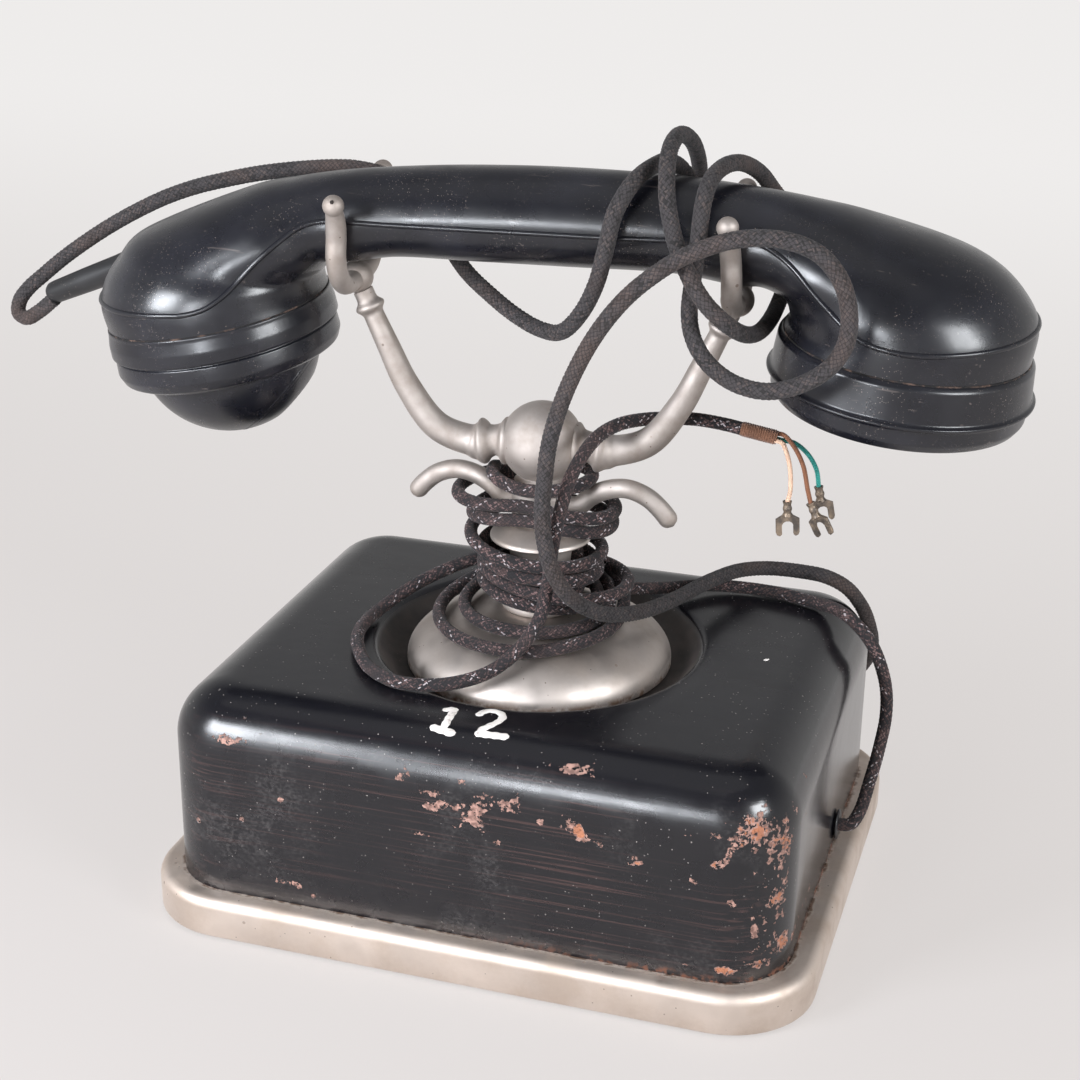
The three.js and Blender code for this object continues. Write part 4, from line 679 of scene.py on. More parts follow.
def wire_route(across, upward, rest):
    first = WHIPPING_END + np.array([0, across, upward])
    second = WHIPPING_END + whipping_axis * 1.8 + np.array([0, across, upward]) * 1.2
    return smooth_route([list(first - whipping_axis * 0.5), list(second), *rest], WIRE_STEP)


wire_paths = {
    "pale": wire_route(-1.1, -0.5,
                       [[63.2, 13.9, 124.6], [64.7, 14.2, 119.6], [65.2, 14.4, 112.7], [64.6, 14.4, 109.3]]),
    "brown": wire_route(0.3, 0.9,
                        [[65.4, 14.4, 125.3], [68.2, 14.2, 120.4], [70, 13.8, 113.6], [71.1, 13.6, 109.9]]),
    "green": wire_route(1.1, -0.7,
                        [[65, 17, 125.4], [68.6, 18, 122.4], [71.2, 18.2, 118.2], [72.2, 18.2, 113.1]]),
}
wires = {}
for colour, path in wire_paths.items():
    lap = 0.05 * np.abs(np.sin(np.pi * np.arange(len(path)) * WIRE_STEP / COTTON_LAP))
    wires[colour] = skin(f"wire_{colour}_cotton", tube_rings(path, WIRE / 2 - 0.05 + lap, 14),
                         cotton(f"{colour}_cotton", COTTONS[colour]), sharp=None)
print("wires of", ", ".join(f"{route_length(path):.0f}" for path in wire_paths.values()), "mm")

# %% Lugs
tarnished, tree, shader = new_material("tarnished_brass", (0.17, 0.13, 0.10), 0.55, 0.75)
cloud = patches(tree, 350, 4, 0.35, 0.7)
join(tree, blend_colours(tree, cloud, (0.10, 0.085, 0.075), (0.30, 0.23, 0.17)), shader, "Base Color")
join(tree, remap(tree, noise(tree, 500, 3), 0.4, 0.7), shader, "Roughness")
bumped(tree, shader, noise(tree, 1200, 3), 0.00015, 0.6)


def turn_about(points, axis, angle):
    matrix = np.array(Matrix.Rotation(angle, 3, axis))
    return np.asarray(points, float) @ matrix.T


def make_lug(name, end, lean, turn):
    """A stamped fork with a barrel; end is where the wire goes in."""
    half = [[0.9, -2.6], [1.5, -3.6], [3.2, -4.6], [3.2, -8.4], [2.9, -9.2], [2.2, -9.5], [1.6, -9.0],
            [1.6, -6.4], [1.2, -5.7], [0.5, -5.3]]
    outline = half + [[-x, z] for x, z in reversed(half)]
    levels = ((-0.4, 0.9625), (-0.24, 1), (0.24, 1), (0.4, 0.9625))
    blade_points = np.array([[x * narrow, depth, z] for depth, narrow in levels for x, z in outline])
    blade_faces = grid_faces(len(levels), len(outline))
    barrel_path = np.array([[0, 0, z] for z in np.linspace(0.4, -3.8, 14)])
    barrel_radius = 1.15 + 0.12 * np.cos(np.linspace(0, 4 * math.pi, 14))
    barrel = tube_rings(barrel_path, barrel_radius, 18)
    barrel_faces = [tuple(index + len(blade_points) for index in face) for face in grid_faces(14, 18)]
    points = np.vstack([blade_points, barrel.reshape(-1, 3)])
    points = turn_about(turn_about(points, "Z", turn), "Y", lean) + end
    return add_mesh(name, points, blade_faces + barrel_faces, tarnished)


lug_leans = {"pale": (-4, 10), "brown": (-28, -30), "green": (-12, 20)}
lugs = {}
for colour, (lean, turn) in lug_leans.items():
    lugs[colour] = make_lug(f"lug_{colour}_stamped", wire_paths[colour][-1], math.radians(lean),
                            math.radians(turn) + CRADLE_TURN)
print(f"{len(lugs)} lugs")


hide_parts("handset_cord_upper")
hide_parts("handset_cord_lower")
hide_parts("line_cord_lead", "line_cord_winding")
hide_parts("line_cord_tail")
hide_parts("cord_whipping")
for colour in wires:
    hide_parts(f"wire_{colour}")
    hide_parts(f"lug_{colour}")
    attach(wires[colour], "cradle")
    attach(lugs[colour], "cradle")
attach(whipping, "cradle")
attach(line_cord, "base")
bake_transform(upper_cord)
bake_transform(lower_cord)
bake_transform(tail_cord)

# %% [markdown]
# ## Nickel, lacquer and hard rubber
#
# The metal of the pedestal is nickel plate nearly a hundred years old: warm grey, cloudy where hands
# have dulled it, with brown dirt where a cloth can't reach. The case is black lacquer on steel. The
# handset is ebonite, a hard rubber, and it still shines softly under its fine scratches and dust.

# %% Old nickel
CASE_CORNER = 18.5
GRIME = (0.115, 0.070, 0.046)


def old_nickel(name, colour, roughness, grime):
    """Nickel with soft clouds and fine pits; grime makes the mask of where dirt has stayed."""
    material, tree, shader = new_material(name, colour, roughness, 1.0)
    cloud = patches(tree, 70, 5, 0.40, 0.72)
    base = blend_colours(tree, cloud, colour, (colour[0] * 0.80, colour[1] * 0.77, colour[2] * 0.74))
    pits = most(tree, specks(tree, 260, 0.10, 0.07), specks(tree, 700, 0.12, 0.05))
    held = times(tree, grime(tree), patches(tree, 300, 4, 0.34, 0.60))
    mask = most(tree, times(tree, pits, 0.75), held)
    join(tree, blend_colours(tree, mask, base, GRIME), shader, "Base Color")
    dull = remap(tree, noise(tree, 140, 4), roughness * 0.82, roughness * 1.25)
    join(tree, plus(tree, dull, times(tree, mask, 0.3)), shader, "Roughness")
    join(tree, minus(tree, 1.0, times(tree, mask, 0.85)), shader, "Metallic")
    bumped(tree, shader, noise(tree, 260, 4), 0.00010, 0.25)
    return material


def rim_grime(tree):
    """Dirt low on the pedestal's dome, where it sits in the case's well."""
    ragged = plus(tree, axes_of(tree, place(tree))[2], times(tree, noise(tree, 300, 3), 0.0024))
    return soft_step(tree, ragged, 0.0648, 0.0628)


def foot_grime(tree):
    """Dirt in the corner between the skirt's top and the case's foot."""
    outward = {}
    for axis, size, spot in zip("XY", (case_width, case_depth), axes_of(tree, place(tree))):
        over = minus(tree, maths(tree, "ABSOLUTE", spot), (size / 2 - CASE_CORNER) * MM)
        outward[axis] = most(tree, over, 0.0)
    reach = length_of(tree, add_node(tree, "ShaderNodeCombineXYZ", outward).outputs[0])
    gap = minus(tree, reach, CASE_CORNER * MM)
    ragged = plus(tree, gap, times(tree, noise(tree, 260, 3), 0.0016))
    return soft_step(tree, ragged, 0.0021, 0.0011)


nickel = old_nickel("nickel", (0.495, 0.446, 0.415), 0.65, rim_grime)
dome_nickel = old_nickel("dome_nickel", (0.565, 0.508, 0.470), 0.50, rim_grime)
skirt_nickel = old_nickel("skirt_nickel", (0.70, 0.608, 0.540), 0.56, foot_grime)
print("three nickels")

# %% Ebonite and rubber
def hard_rubber(name, colour, roughness, dust):
    """Black with a faint bloom, fine scratches and many very small specks of dust."""
    material, tree, shader = new_material(name, colour, roughness)
    bloom = [value * 1.8 + 0.004 for value in colour]
    base = blend_colours(tree, patches(tree, 45, 5, 0.40, 0.75), colour, bloom)
    patch = patches(tree, 60, 4, 0.42, 0.66)
    fine = times(tree, specks(tree, 1900, 0.15, dust), patch)
    larger = specks(tree, 620, 0.06, dust * 0.30)
    scratch = patches(tree, 260, 3, 0.67, 0.75, (0.22, 3, 3))
    marks = most(tree, most(tree, fine, larger), times(tree, scratch, 0.25))
    join(tree, blend_colours(tree, times(tree, marks, 0.85), base, (0.26, 0.21, 0.185)), shader,
         "Base Color")
    join(tree, remap(tree, noise(tree, 110, 4), roughness - 0.05, roughness + 0.09), shader, "Roughness")
    bumped(tree, shader, noise(tree, 900, 3), 0.00005, 0.3)
    shader.inputs["Specular IOR Level"].default_value = 0.62
    return material


ebonite = hard_rubber("ebonite", (0.0045, 0.0047, 0.0075), 0.27, 0.42)
rubber = hard_rubber("rubber", (0.007, 0.007, 0.008), 0.40, 0.15)
print("ebonite and rubber")

# %% [markdown]
# ## Skirt and case
#
# Both are pressed from sheet on a rounded oblong. The skirt has a small shoulder that catches the light
# all the way round. The case has a wide soft shoulder, and a round well is pressed into its top for the
# pedestal. To draw the top as one sheet, each ring of the oblong is slowly turned into a circle, and
# then the circles go down into the well and back up inside, so the case is a real shell.

# %% A rounded oblong
CORNER_STEPS = 14
SIDE_STEPS = 12


def oblong(width, depth, corner, height):
    """Points round an oblong with round corners, from the right side anticlockwise."""
    points = []
    half_x, half_y = width / 2 - corner, depth / 2 - corner
    centres = [(half_x, half_y), (-half_x, half_y), (-half_x, -half_y), (half_x, -half_y)]
    for index, (x, y) in enumerate(centres):
        for step in range(CORNER_STEPS + 1):
            angle = math.radians(90 * (index + step / CORNER_STEPS))
            points.append([x + corner * math.cos(angle), y + corner * math.sin(angle), height])
        next_x, next_y = centres[(index + 1) % 4]
        turn = math.radians(90 * (index + 1))
        start = np.array([x + corner * math.cos(turn), y + corner * math.sin(turn)])
        end = np.array([next_x + corner * math.cos(turn), next_y + corner * math.sin(turn)])
        for step in range(1, SIDE_STEPS):
            points.append([*(start + (end - start) * step / SIDE_STEPS), height])
    return np.array(points)


def inset_oblong(width, depth, corner, inset, height):
    return oblong(width - 2 * inset, depth - 2 * inset, max(corner - inset, 0.6), height)


def quarter_round(radius, top, steps):
    """Inset and height over a rounded shoulder, from the side to the top."""
    turns = [math.radians(90 * step / steps) for step in range(steps + 1)]
    return [(radius * (1 - math.cos(turn)), top - radius + radius * math.sin(turn)) for turn in turns]


print(f"a rounded oblong has {len(oblong(20, 10, 2, 0))} points")

# %% Skirt
SKIRT_CORNER = 23.5
SKIRT_EDGE = 2.8
SKIRT_BOTTOM = skirt_low[2]
skirt_profile = [(1.3, SKIRT_BOTTOM + 0.4), (0.7, SKIRT_BOTTOM), (0.15, SKIRT_BOTTOM + 0.1),
                 (0, SKIRT_BOTTOM + 0.6), (0, skirt_top - SKIRT_EDGE - 3)]
skirt_profile += quarter_round(SKIRT_EDGE, skirt_top, 10)
skirt_profile += [(5.2, skirt_top), (10.5, skirt_top - 0.1), (11.3, skirt_top - 0.9), (4, skirt_top - 1.5),
                  (2.6, skirt_top - 2.2), (1.4, skirt_top - 4), (1.3, SKIRT_BOTTOM + 0.4)]
skirt_rings = [inset_oblong(skirt_width, skirt_depth, SKIRT_CORNER, inset, height)
               for inset, height in skirt_profile]
skirt = skin("base_skirt_pressed", skirt_rings, skirt_nickel, ends=False, sharp=50)
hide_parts("base_skirt")
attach(skirt, "base")
print(f"skirt of {len(skirt.data.polygons)} faces")

# %% Case
CASE_FILLET = 15.3
CASE_WALL = 1.6
WELL_MOUTH = 44.8
WELL_FLOOR_RADIUS = 38.6
STEM_HOLE = 7.3
case_bottom = skirt_top - 0.5


def circle_like(ring, radius, height):
    """The circle whose points lie in the same directions as the ring's."""
    angle = np.arctan2(ring[:, 1], ring[:, 0])
    return np.column_stack([radius * np.cos(angle), radius * np.sin(angle), np.full(len(ring), height)])


def case_rings(wall):
    """One side of the sheet: wall is 0 outside and the sheet's thickness inside."""
    top = case_top - wall
    profile = [(wall, case_bottom), (wall, case_bottom + 6), (wall, top - CASE_FILLET - 4)]
    profile += [(wall + inset * (CASE_FILLET - wall) / CASE_FILLET, height)
                for inset, height in quarter_round(CASE_FILLET, top, 16)]
    rings = [inset_oblong(case_width, case_depth, CASE_CORNER, inset, height) for inset, height in profile]
    edge = rings[-1]
    mouth = circle_like(edge, WELL_MOUTH + wall + 2.6, top)
    rings += [edge + (mouth - edge) * share for share in (0.08, 0.3, 0.55, 0.8, 1)]
    lip = [(WELL_MOUTH + 1.6, -0.15), (WELL_MOUTH + 0.5, -0.75), (WELL_MOUTH - 0.4, -1.7),
           (WELL_MOUTH - 1.4, -2.8)]
    slope = [(WELL_FLOOR_RADIUS + 3.2, -5.0), (WELL_FLOOR_RADIUS + 2.0, -5.9), (WELL_FLOOR_RADIUS, -6.4)]
    floor = [(WELL_FLOOR_RADIUS - 2.5, -6.5), (24, -6.5), (STEM_HOLE - wall, -6.5)]
    rings += [circle_like(edge, radius + wall, top + drop) for radius, drop in lip + slope + floor]
    return rings


outside = case_rings(0)
inside = case_rings(CASE_WALL)
print(f"the case is a shell of {len(outside) + len(inside)} rings")

# %% [markdown]
# ## Old lacquer
#
# The lacquer is the telephone's biggest surface, so it gets the most care. Its top still shines. Its
# front has been rubbed to charcoal, with faint level streaks from wiping and grey scuffs. Along the
# front shoulder and the right corner the paint has chipped down to a brown primer, and here and there
# to rust. Each chip is a place on the front, a size and a lean, and then 1 if it shows rust. A noise
# frays its edge.

# %% Chips in the paint
FRONT_CHIPS = [
    (-63.4, 57, 7.5, 2, 0, 0), (-14.9, 54.7, 2.3, 4.7, 30, 0), (-7.6, 52.1, 4.2, 1.7, 0, 0),
    (-2.8, 49, 8.4, 2.3, -12, 0), (5.8, 48.2, 4.4, 9, 35, 0), (13.9, 52, 6.5, 3.3, -10, 0),
    (-8.9, 39.6, 4.2, 1.3, 0, 0), (32.6, 47.9, 7, 3, 30, 1), (47.3, 41.9, 4.2, 1.4, -15, 1),
    (60.1, 52.7, 3.7, 1.4, 0, 0), (66.8, 45.7, 1.8, 1.6, 0, 1), (61.6, 39.9, 1.6, 1.2, 0, 0),
    (10.6, 40.9, 1.6, 1.4, 0, 0), (1.2, 56.3, 2, 1.2, 0, 0), (22.2, 49, 1.8, 1.2, 0, 0),
    (-48.4, 42.5, 1.4, 1.1, 0, 0), (30.7, 62.5, 8.4, 1.6, 0, 0), (-47.2, 17.9, 5.6, 1.5, 0, 0),
    (60.5, 15.7, 3.2, 1.2, 0, 1),
]
CORNER_CHIPS = [
    (75.6, 54, 10, 7, 0, 1), (69.9, 48.8, 2.6, 8.4, 30, 0), (81.6, 50.5, 3, 5, 0, 1),
    (81.9, 44.4, 2, 5, 0, 0), (81.2, 33.9, 2, 4.5, 0, 1), (77, 26.7, 2.2, 3.2, 0, 0),
    (71.1, 35, 1.5, 1.5, 0, 0), (70, 15.6, 5, 1.6, 0, 1), (77.5, 17.2, 4, 2, 10, 1),
    (82.8, 19.9, 2.6, 4, 0, 1),
]


def chip_mask(tree, flat, fray, chip):
    """1 inside one chip: an oval in millimetres on the front, its edge frayed by noise."""
    x, z, width, height, lean, _ = chip
    settings = {"Vector": flat, "Location": (x * MM, 0, z * MM), "Rotation": (0, math.radians(lean), 0),
                "Scale": (width / 2 * MM, 1, height / 2 * MM)}
    inside_oval = add_node(tree, "ShaderNodeMapping", settings, vector_type="TEXTURE").outputs[0]
    return soft_step(tree, plus(tree, length_of(tree, inside_oval), fray), 1.04, 0.96)


def all_chips(tree, flat, fray, chips):
    mask = chip_mask(tree, flat, fray, chips[0])
    for chip in chips[1:]:
        mask = most(tree, mask, chip_mask(tree, flat, fray, chip))
    return mask


def band(tree, value, low, high, soft):
    """1 between low and high, in metres, with soft ends."""
    rise = soft_step(tree, value, low - soft, low + soft)
    return times(tree, rise, soft_step(tree, value, high + soft, high - soft))


print(f"{len(FRONT_CHIPS)} chips on the front and {len(CORNER_CHIPS)} at its right corner")

# %% Where the paint is gone
BRUSHED = (0.045, 1, 3.6)
PRIMER_DARK, PRIMER_PALE = (0.125, 0.062, 0.048), (0.345, 0.195, 0.155)
RUST_BRIGHT, RUST_DARK, RUST_FOOT = (0.44, 0.16, 0.075), (0.20, 0.08, 0.045), (0.15, 0.055, 0.028)
SCUFF, DUST, WELL_DUST = (0.085, 0.078, 0.076), (0.26, 0.23, 0.21), (0.075, 0.058, 0.048)
lacquer, tree, shader = new_material("lacquer", (0.009, 0.009, 0.011), 0.2)
across, back, up = axes_of(tree, place(tree))
flat_front = add_node(tree, "ShaderNodeCombineXYZ", {"X": across, "Z": up}).outputs[0]
facing = axes_of(tree, add_node(tree, "ShaderNodeTexCoord").outputs["Normal"])
front = soft_step(tree, facing[1], -0.55, -0.97)
upward = soft_step(tree, facing[2], 0.80, 0.98)
front_half = maths(tree, "LESS_THAN", back, -0.030)
coarse_fray = times(tree, minus(tree, noise(tree, 330, 3), 0.47), 5.0)
fine_fray = times(tree, minus(tree, noise(tree, 1100, 3), 0.5), 2.6)
fray = plus(tree, coarse_fray, fine_fray)
placed_chips = all_chips(tree, flat_front, fray, FRONT_CHIPS + CORNER_CHIPS)
corner_strip = times(tree, band(tree, across, 0.0765, 0.0825, 0.003), band(tree, up, 0.016, 0.055, 0.006))
small_chips = patches(tree, 420, 4, 0.570, 0.595)
strip_chips = times(tree, small_chips, maths(tree, "GREATER_THAN", corner_strip, 0.35))
scattered = times(tree, specks(tree, 150, 0.09, 0.07), front)
all_bare = most(tree, most(tree, placed_chips, strip_chips), scattered)
left_paint = patches(tree, 950, 3, 0.40, 0.44)
primer_mask = times(tree, times(tree, all_bare, left_paint), front_half)
rust_chips = [chip for chip in FRONT_CHIPS + CORNER_CHIPS if chip[5]]
rust_mask = times(tree, all_chips(tree, flat_front, plus(tree, fray, 0.6), rust_chips), front_half)
ragged = plus(tree, up, times(tree, noise(tree, 300, 3), 0.004))
foot = soft_step(tree, ragged, 0.0160, 0.0140)
foot_right = times(tree, foot, soft_step(tree, across, -0.01, 0.06))
foot_rust = times(tree, foot_right, patches(tree, 420, 4, 0.46, 0.58))
print(f"{len(rust_chips)} of the chips show rust")

# %% Streaks, scuffs and dust
streaks = patches(tree, 420, 3, 0.52, 0.66, BRUSHED)
streak_patch = patches(tree, 22, 3, 0.38, 0.62, (0.6, 1, 1.6))
scuff_grain = patches(tree, 1300, 5, 0.36, 0.78, (0.7, 1, 1))
scuff_patch = patches(tree, 48, 4, 0.50, 0.68)
scuffs = times(tree, scuff_grain, scuff_patch)
black = blend_colours(tree, front, (0.0035, 0.0035, 0.0055), (0.0040, 0.0036, 0.0055))
streaked = times(tree, times(tree, streaks, streak_patch), times(tree, front, 0.8))
wiped = blend_colours(tree, streaked, black, (0.046, 0.023, 0.021))
scuffed = blend_colours(tree, times(tree, times(tree, scuffs, front), 0.42), wiped, SCUFF)
fine_dust = times(tree, specks(tree, 1000, 0.13, 0.16), patches(tree, 55, 4, 0.36, 0.62))
dust = most(tree, specks(tree, 330, 0.055, 0.10), fine_dust)
dusty = blend_colours(tree, times(tree, dust, 0.75), scuffed, DUST)
primer = blend_colours(tree, patches(tree, 800, 3, 0.35, 0.65), PRIMER_DARK, PRIMER_PALE)
primed = blend_colours(tree, primer_mask, dusty, primer)
rust = blend_colours(tree, noise(tree, 700, 3), RUST_BRIGHT, RUST_DARK)
rusted = blend_colours(tree, rust_mask, primed, rust)
footed = blend_colours(tree, times(tree, foot_rust, 0.85), rusted, RUST_FOOT)
from_axis = length_of(tree, add_node(tree, "ShaderNodeCombineXYZ", {"X": across, "Y": back}).outputs[0])
in_mouth = soft_step(tree, from_axis, (WELL_MOUTH + 1) * MM, (WELL_MOUTH - 0.8) * MM)
well = times(tree, in_mouth, soft_step(tree, up, 0.055, 0.058))
well_dust = times(tree, well, remap(tree, noise(tree, 130, 4), 0.2, 0.9))
join(tree, blend_colours(tree, times(tree, well_dust, 0.8), footed, WELL_DUST), shader, "Base Color")
print(f"the well is dusty to {WELL_MOUTH - 0.8:.0f} mm from the column's axis")

# %% Shine, and the case in its lacquer
level_dull = times(tree, upward, remap(tree, noise(tree, 40, 4), 0.04, 0.16))
rubbed = plus(tree, times(tree, front, remap(tree, noise(tree, 120, 4), 0.06, 0.20)), level_dull)
bare = times(tree, most(tree, most(tree, primer_mask, foot_rust), most(tree, dust, well)), 0.5)
join(tree, plus(tree, plus(tree, rubbed, bare), 0.16), shader, "Roughness")
waves = bumped(tree, shader, noise(tree, 70, 2), 0.00025, 0.35)
waves = bumped(tree, shader, noise(tree, 420, 3, BRUSHED), 0.00003, 0.5, waves)
bumped(tree, shader, minus(tree, 1.0, primer_mask), 0.00030, 0.9, waves)
shader.inputs["Specular IOR Level"].default_value = 0.6

case = skin("case_shell_pressed", outside + inside[::-1] + outside[:1], lacquer, ends=False, sharp=50)
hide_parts("case_shell")
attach(case, "base")
print(f"the case has {len(case.data.polygons)} faces")

# %% [markdown]
# ## Painted number
#
# Someone once painted a number on the case's front shoulder by brush, and it is a plain 12 here. A
# brush stroke stands a little proud of the lacquer, thickest along its middle. So each stroke is a thin
# low ridge that follows the top and rolls over the shoulder with it.

# %% Brush strokes on the shoulder
def shoulder(y):
    """Height of the case's surface near its front edge, and its direction outward."""
    over = max(-(case_depth / 2 - CASE_FILLET) - y, 0)
    rise = math.sqrt(max(CASE_FILLET ** 2 - over ** 2, 0))
    return case_top - CASE_FILLET + rise, np.array([0, -over, rise]) / CASE_FILLET


def brush_stroke(points, width):
    """A flat-bottomed ridge over the case along a line in plan."""
    line = smooth_route([[x, y, 0] for x, y in points], 0.35)
    count = len(line)
    across_steps = np.linspace(-1, 1, 9)
    rings = []
    for index, spot_on in enumerate(line):
        ahead = line[min(index + 1, count - 1)] - line[max(index - 1, 0)]
        side = np.array([-ahead[1], ahead[0]]) / np.linalg.norm(ahead[:2])
        end_share = min(index, count - 1 - index) / 2.2
        swell = min(1, 0.35 + 0.65 * end_share) * (1 + 0.08 * math.sin(index * 0.9))
        ridge = [(share, 0.02 + 0.16 * (1 - share ** 2) * min(1, 0.4 + end_share)) for share in across_steps]
        ring = []
        for share, lift in ridge + [(share, -0.2) for share in across_steps[::-1]]:
            x, y = spot_on[:2] + side * share * width / 2 * swell
            height, outward = shoulder(y)
            ring.append(np.array([x, y, height]) + outward * lift)
        rings.append(ring)
    return rings


white_paint, tree, shader = new_material("white_paint", (0.72, 0.66, 0.62), 0.5)
thin = patches(tree, 700, 4, 0.30, 0.48)
join(tree, blend_colours(tree, thin, (0.42, 0.36, 0.33), (0.76, 0.71, 0.67)), shader, "Base Color")
bumped(tree, shader, noise(tree, 1500, 3), 0.00008, 0.6)

STROKES = {
    "one_flag": [(-9.6, -51.9), (-8.4, -50.6), (-7.0, -49.6)],
    "one_stem": [(-7.0, -49.4), (-6.8, -53), (-6.7, -56.4), (-6.8, -59.6)],
    "one_foot": [(-10.3, -59.2), (-6.8, -59.8), (-3.2, -60.3)],
    "two_curve": [(-0.1, -51.9), (0.3, -49.6), (2.0, -48.0), (4.6, -48.3), (6.1, -50.4), (5.8, -53.2),
                  (4.3, -55.9), (2.2, -58.6)],
    "two_foot": [(1.6, -59.1), (5.7, -58.9), (10.6, -58.7)],
}
NUMBER_BRUSH = 2.1
for stroke, points in STROKES.items():
    painted = skin(f"painted_{stroke}", brush_stroke(points, NUMBER_BRUSH), white_paint, sharp=None)
    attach(painted, "base")
drop_of_paint = skin("painted_drop", brush_stroke([(62.4, 5.1), (63.1, 5.5), (63.7, 6.1)], 1.1), white_paint,
                     sharp=None)
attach(drop_of_paint, "base")
print(f"{len(STROKES)} strokes make the number")

# %% [markdown]
# ## Turned pedestal
#
# The dome, column, saucer and ball were turned on a lathe and then nickelled. A turned piece is its
# profile, and its corners are never quite sharp, because a buffing wheel takes them off.

# %% Dome, column and saucer
DOME_BOTTOM = 60.3
DOME_RIM = 1.4
DOME_HEIGHT = 15.2
DOME_WALL = 1.2
STEM = 7.3


def dome_height(reach, radius, height):
    return DOME_BOTTOM + DOME_RIM + height * math.sqrt(max(1 - (reach / radius) ** 2, 0))


def dome_curve(radius, height, steps):
    """One side of the dome, from its rim up to the stem."""
    turns = [math.radians(90 * step / steps) for step in range(steps + 1)]
    reaches = [STEM + (radius - STEM) * math.cos(turn) for turn in turns]
    return [(reach, dome_height(reach, radius, height)) for reach in reaches]


inner_radius = dome_radius - DOME_WALL
dome_profile = [(inner_radius, DOME_BOTTOM), (dome_radius - 0.3, DOME_BOTTOM),
                (dome_radius, DOME_BOTTOM + 0.3), *dome_curve(dome_radius, DOME_HEIGHT, 24),
                *dome_curve(inner_radius, DOME_HEIGHT - DOME_WALL, 12)[::-1], (inner_radius, DOME_BOTTOM)]
dome = skin("pedestal_dome_turned", turned_rings(dome_profile, 128), dome_nickel, ends=False)

WAIST = 7.9
BORE = 5.4
column_foot = dome_height(10.5, dome_radius, DOME_HEIGHT) + 0.2
saucer_bottom = SAUCER_TOP - 2.2
column_profile = [(BORE, 50), (7, 50), (7, column_foot), (10.5, column_foot), (10.6, column_foot + 1.4),
                  (9.3, column_foot + 2.6), (WAIST + 0.3, column_foot + 5), (WAIST, column_foot + 10),
                  (WAIST + 0.8, saucer_bottom - 1.6), (WAIST + 1, saucer_bottom),
                  (WAIST - 1, saucer_bottom + 0.1), (WAIST - 1, SAUCER_TOP + 1.5), (8, 102.9), (8, 109.9),
                  (6.6, 111), (6.3, 112), (3.4, 112), (3.4, 104), (BORE, 103), (BORE, 50)]
column = skin("pedestal_column_turned", turned_rings(eased(column_profile, 0.5), 72), nickel, ends=False)
saucer_profile = [(WAIST - 0.8, saucer_bottom), (10.4, saucer_bottom), (12.8, saucer_bottom + 0.6),
                  (14, SAUCER_TOP - 1), (13.6, SAUCER_TOP), (11.4, SAUCER_TOP + 1.7),
                  (8.6, SAUCER_TOP + 3.6), (WAIST - 0.8, SAUCER_TOP + 3.7), (WAIST - 0.8, saucer_bottom)]
saucer = skin("saucer_moulding_turned", turned_rings(eased(saucer_profile, 0.55), 96), dome_nickel,
              ends=False)
for piece, node in ((dome, "pedestal_dome"), (column, "pedestal_column"), (saucer, "saucer_moulding")):
    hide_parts(node)
    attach(piece, "base")
print(f"the column's foot stands {column_foot:.1f} mm above the table")

# %% Cord hooks
HOOK_RADIUS = 2.6
HOOK_STEP = 0.6


def hook(side):
    """A bar that leaves the column's boss, rises and turns down like a horn."""
    route = smooth_route([
        [side * 7, 0, 106.3], [side * 10.9, 0, 107], [side * 13.7, 0, 109.6], [side * 18.5, 0, 112.3],
        [side * 24, 0, 113.2], [side * 29.5, 0, 111.5], [side * 33.5, 0, 108.3], [side * 36.9, 0, 104.2],
    ], HOOK_STEP)
    left_over = (len(route) - 1 - np.arange(len(route))) * HOOK_STEP
    rounding = np.sqrt(np.clip(1 - (1 - np.clip(left_over / HOOK_RADIUS, 0, 1)) ** 2, 0.02, 1))
    return tube_rings(route, HOOK_RADIUS * rounding, 28)


for side, word in ((-1, "left"), (1, "right")):
    horn = skin(f"cord_hook_{word}_bar", hook(side), nickel)
    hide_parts(f"cord_hook_{word}")
    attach(horn, "base")
print("two cord hooks")

# %% [markdown]
# ## Cradle
#
# The ball sits on the plunger's rod. From flats on its sides grow two arms, each turned to a flange, a
# neck and a bead and then bent, with another bead under the fork. A fork is one thick wire bent to a U,
# with a ball where it is soldered to the arm and a small ball on each tip. One tip has a dark mark like
# a drilled hole, and a very small dark ball set into the tip is painted shade for the inside of the hole.

# %% Ball and arms
BALL = 11.1
BALL_HEIGHT = 123.8
ARM_ROOT = 123.3
HUB_SPAN = 50.4
HUB = 4.4
ARM_STEP = 0.3
ball_profile = [(3.3, 112.6), (7.2, 112.4), (7.4, 113.2), (6.1, 114.0), (5.8, 114.6)]
for step in range(34):
    turn = math.radians(-57 + 147 * step / 33)
    ball_profile.append((BALL * math.cos(turn), BALL_HEIGHT + BALL * math.sin(turn)))
ball_profile[-1] = (NEAR_AXIS, BALL_HEIGHT + BALL)
ball = skin("cradle_ball_turned", in_cradle(turned_rings(ball_profile, 96)), nickel)


def arm_route(side):
    return smooth_route([
        [side * 8.6, 0, ARM_ROOT], [side * 12.5, 0, ARM_ROOT], [side * 14.5, 0, ARM_ROOT - 0.3],
        [side * 19, 0, ARM_ROOT - 0.6], [side * 28.7, 0, BALL_HEIGHT + 2.2],
        [side * (HUB_SPAN - 13.6), 0, HUB_HEIGHT - 29.5], [side * (HUB_SPAN - 8.1), 0, HUB_HEIGHT - 18],
        [side * (HUB_SPAN - 3.8), 0, HUB_HEIGHT - 8.6], [side * (HUB_SPAN - 1.6), 0, HUB_HEIGHT - 3.6],
    ], ARM_STEP)


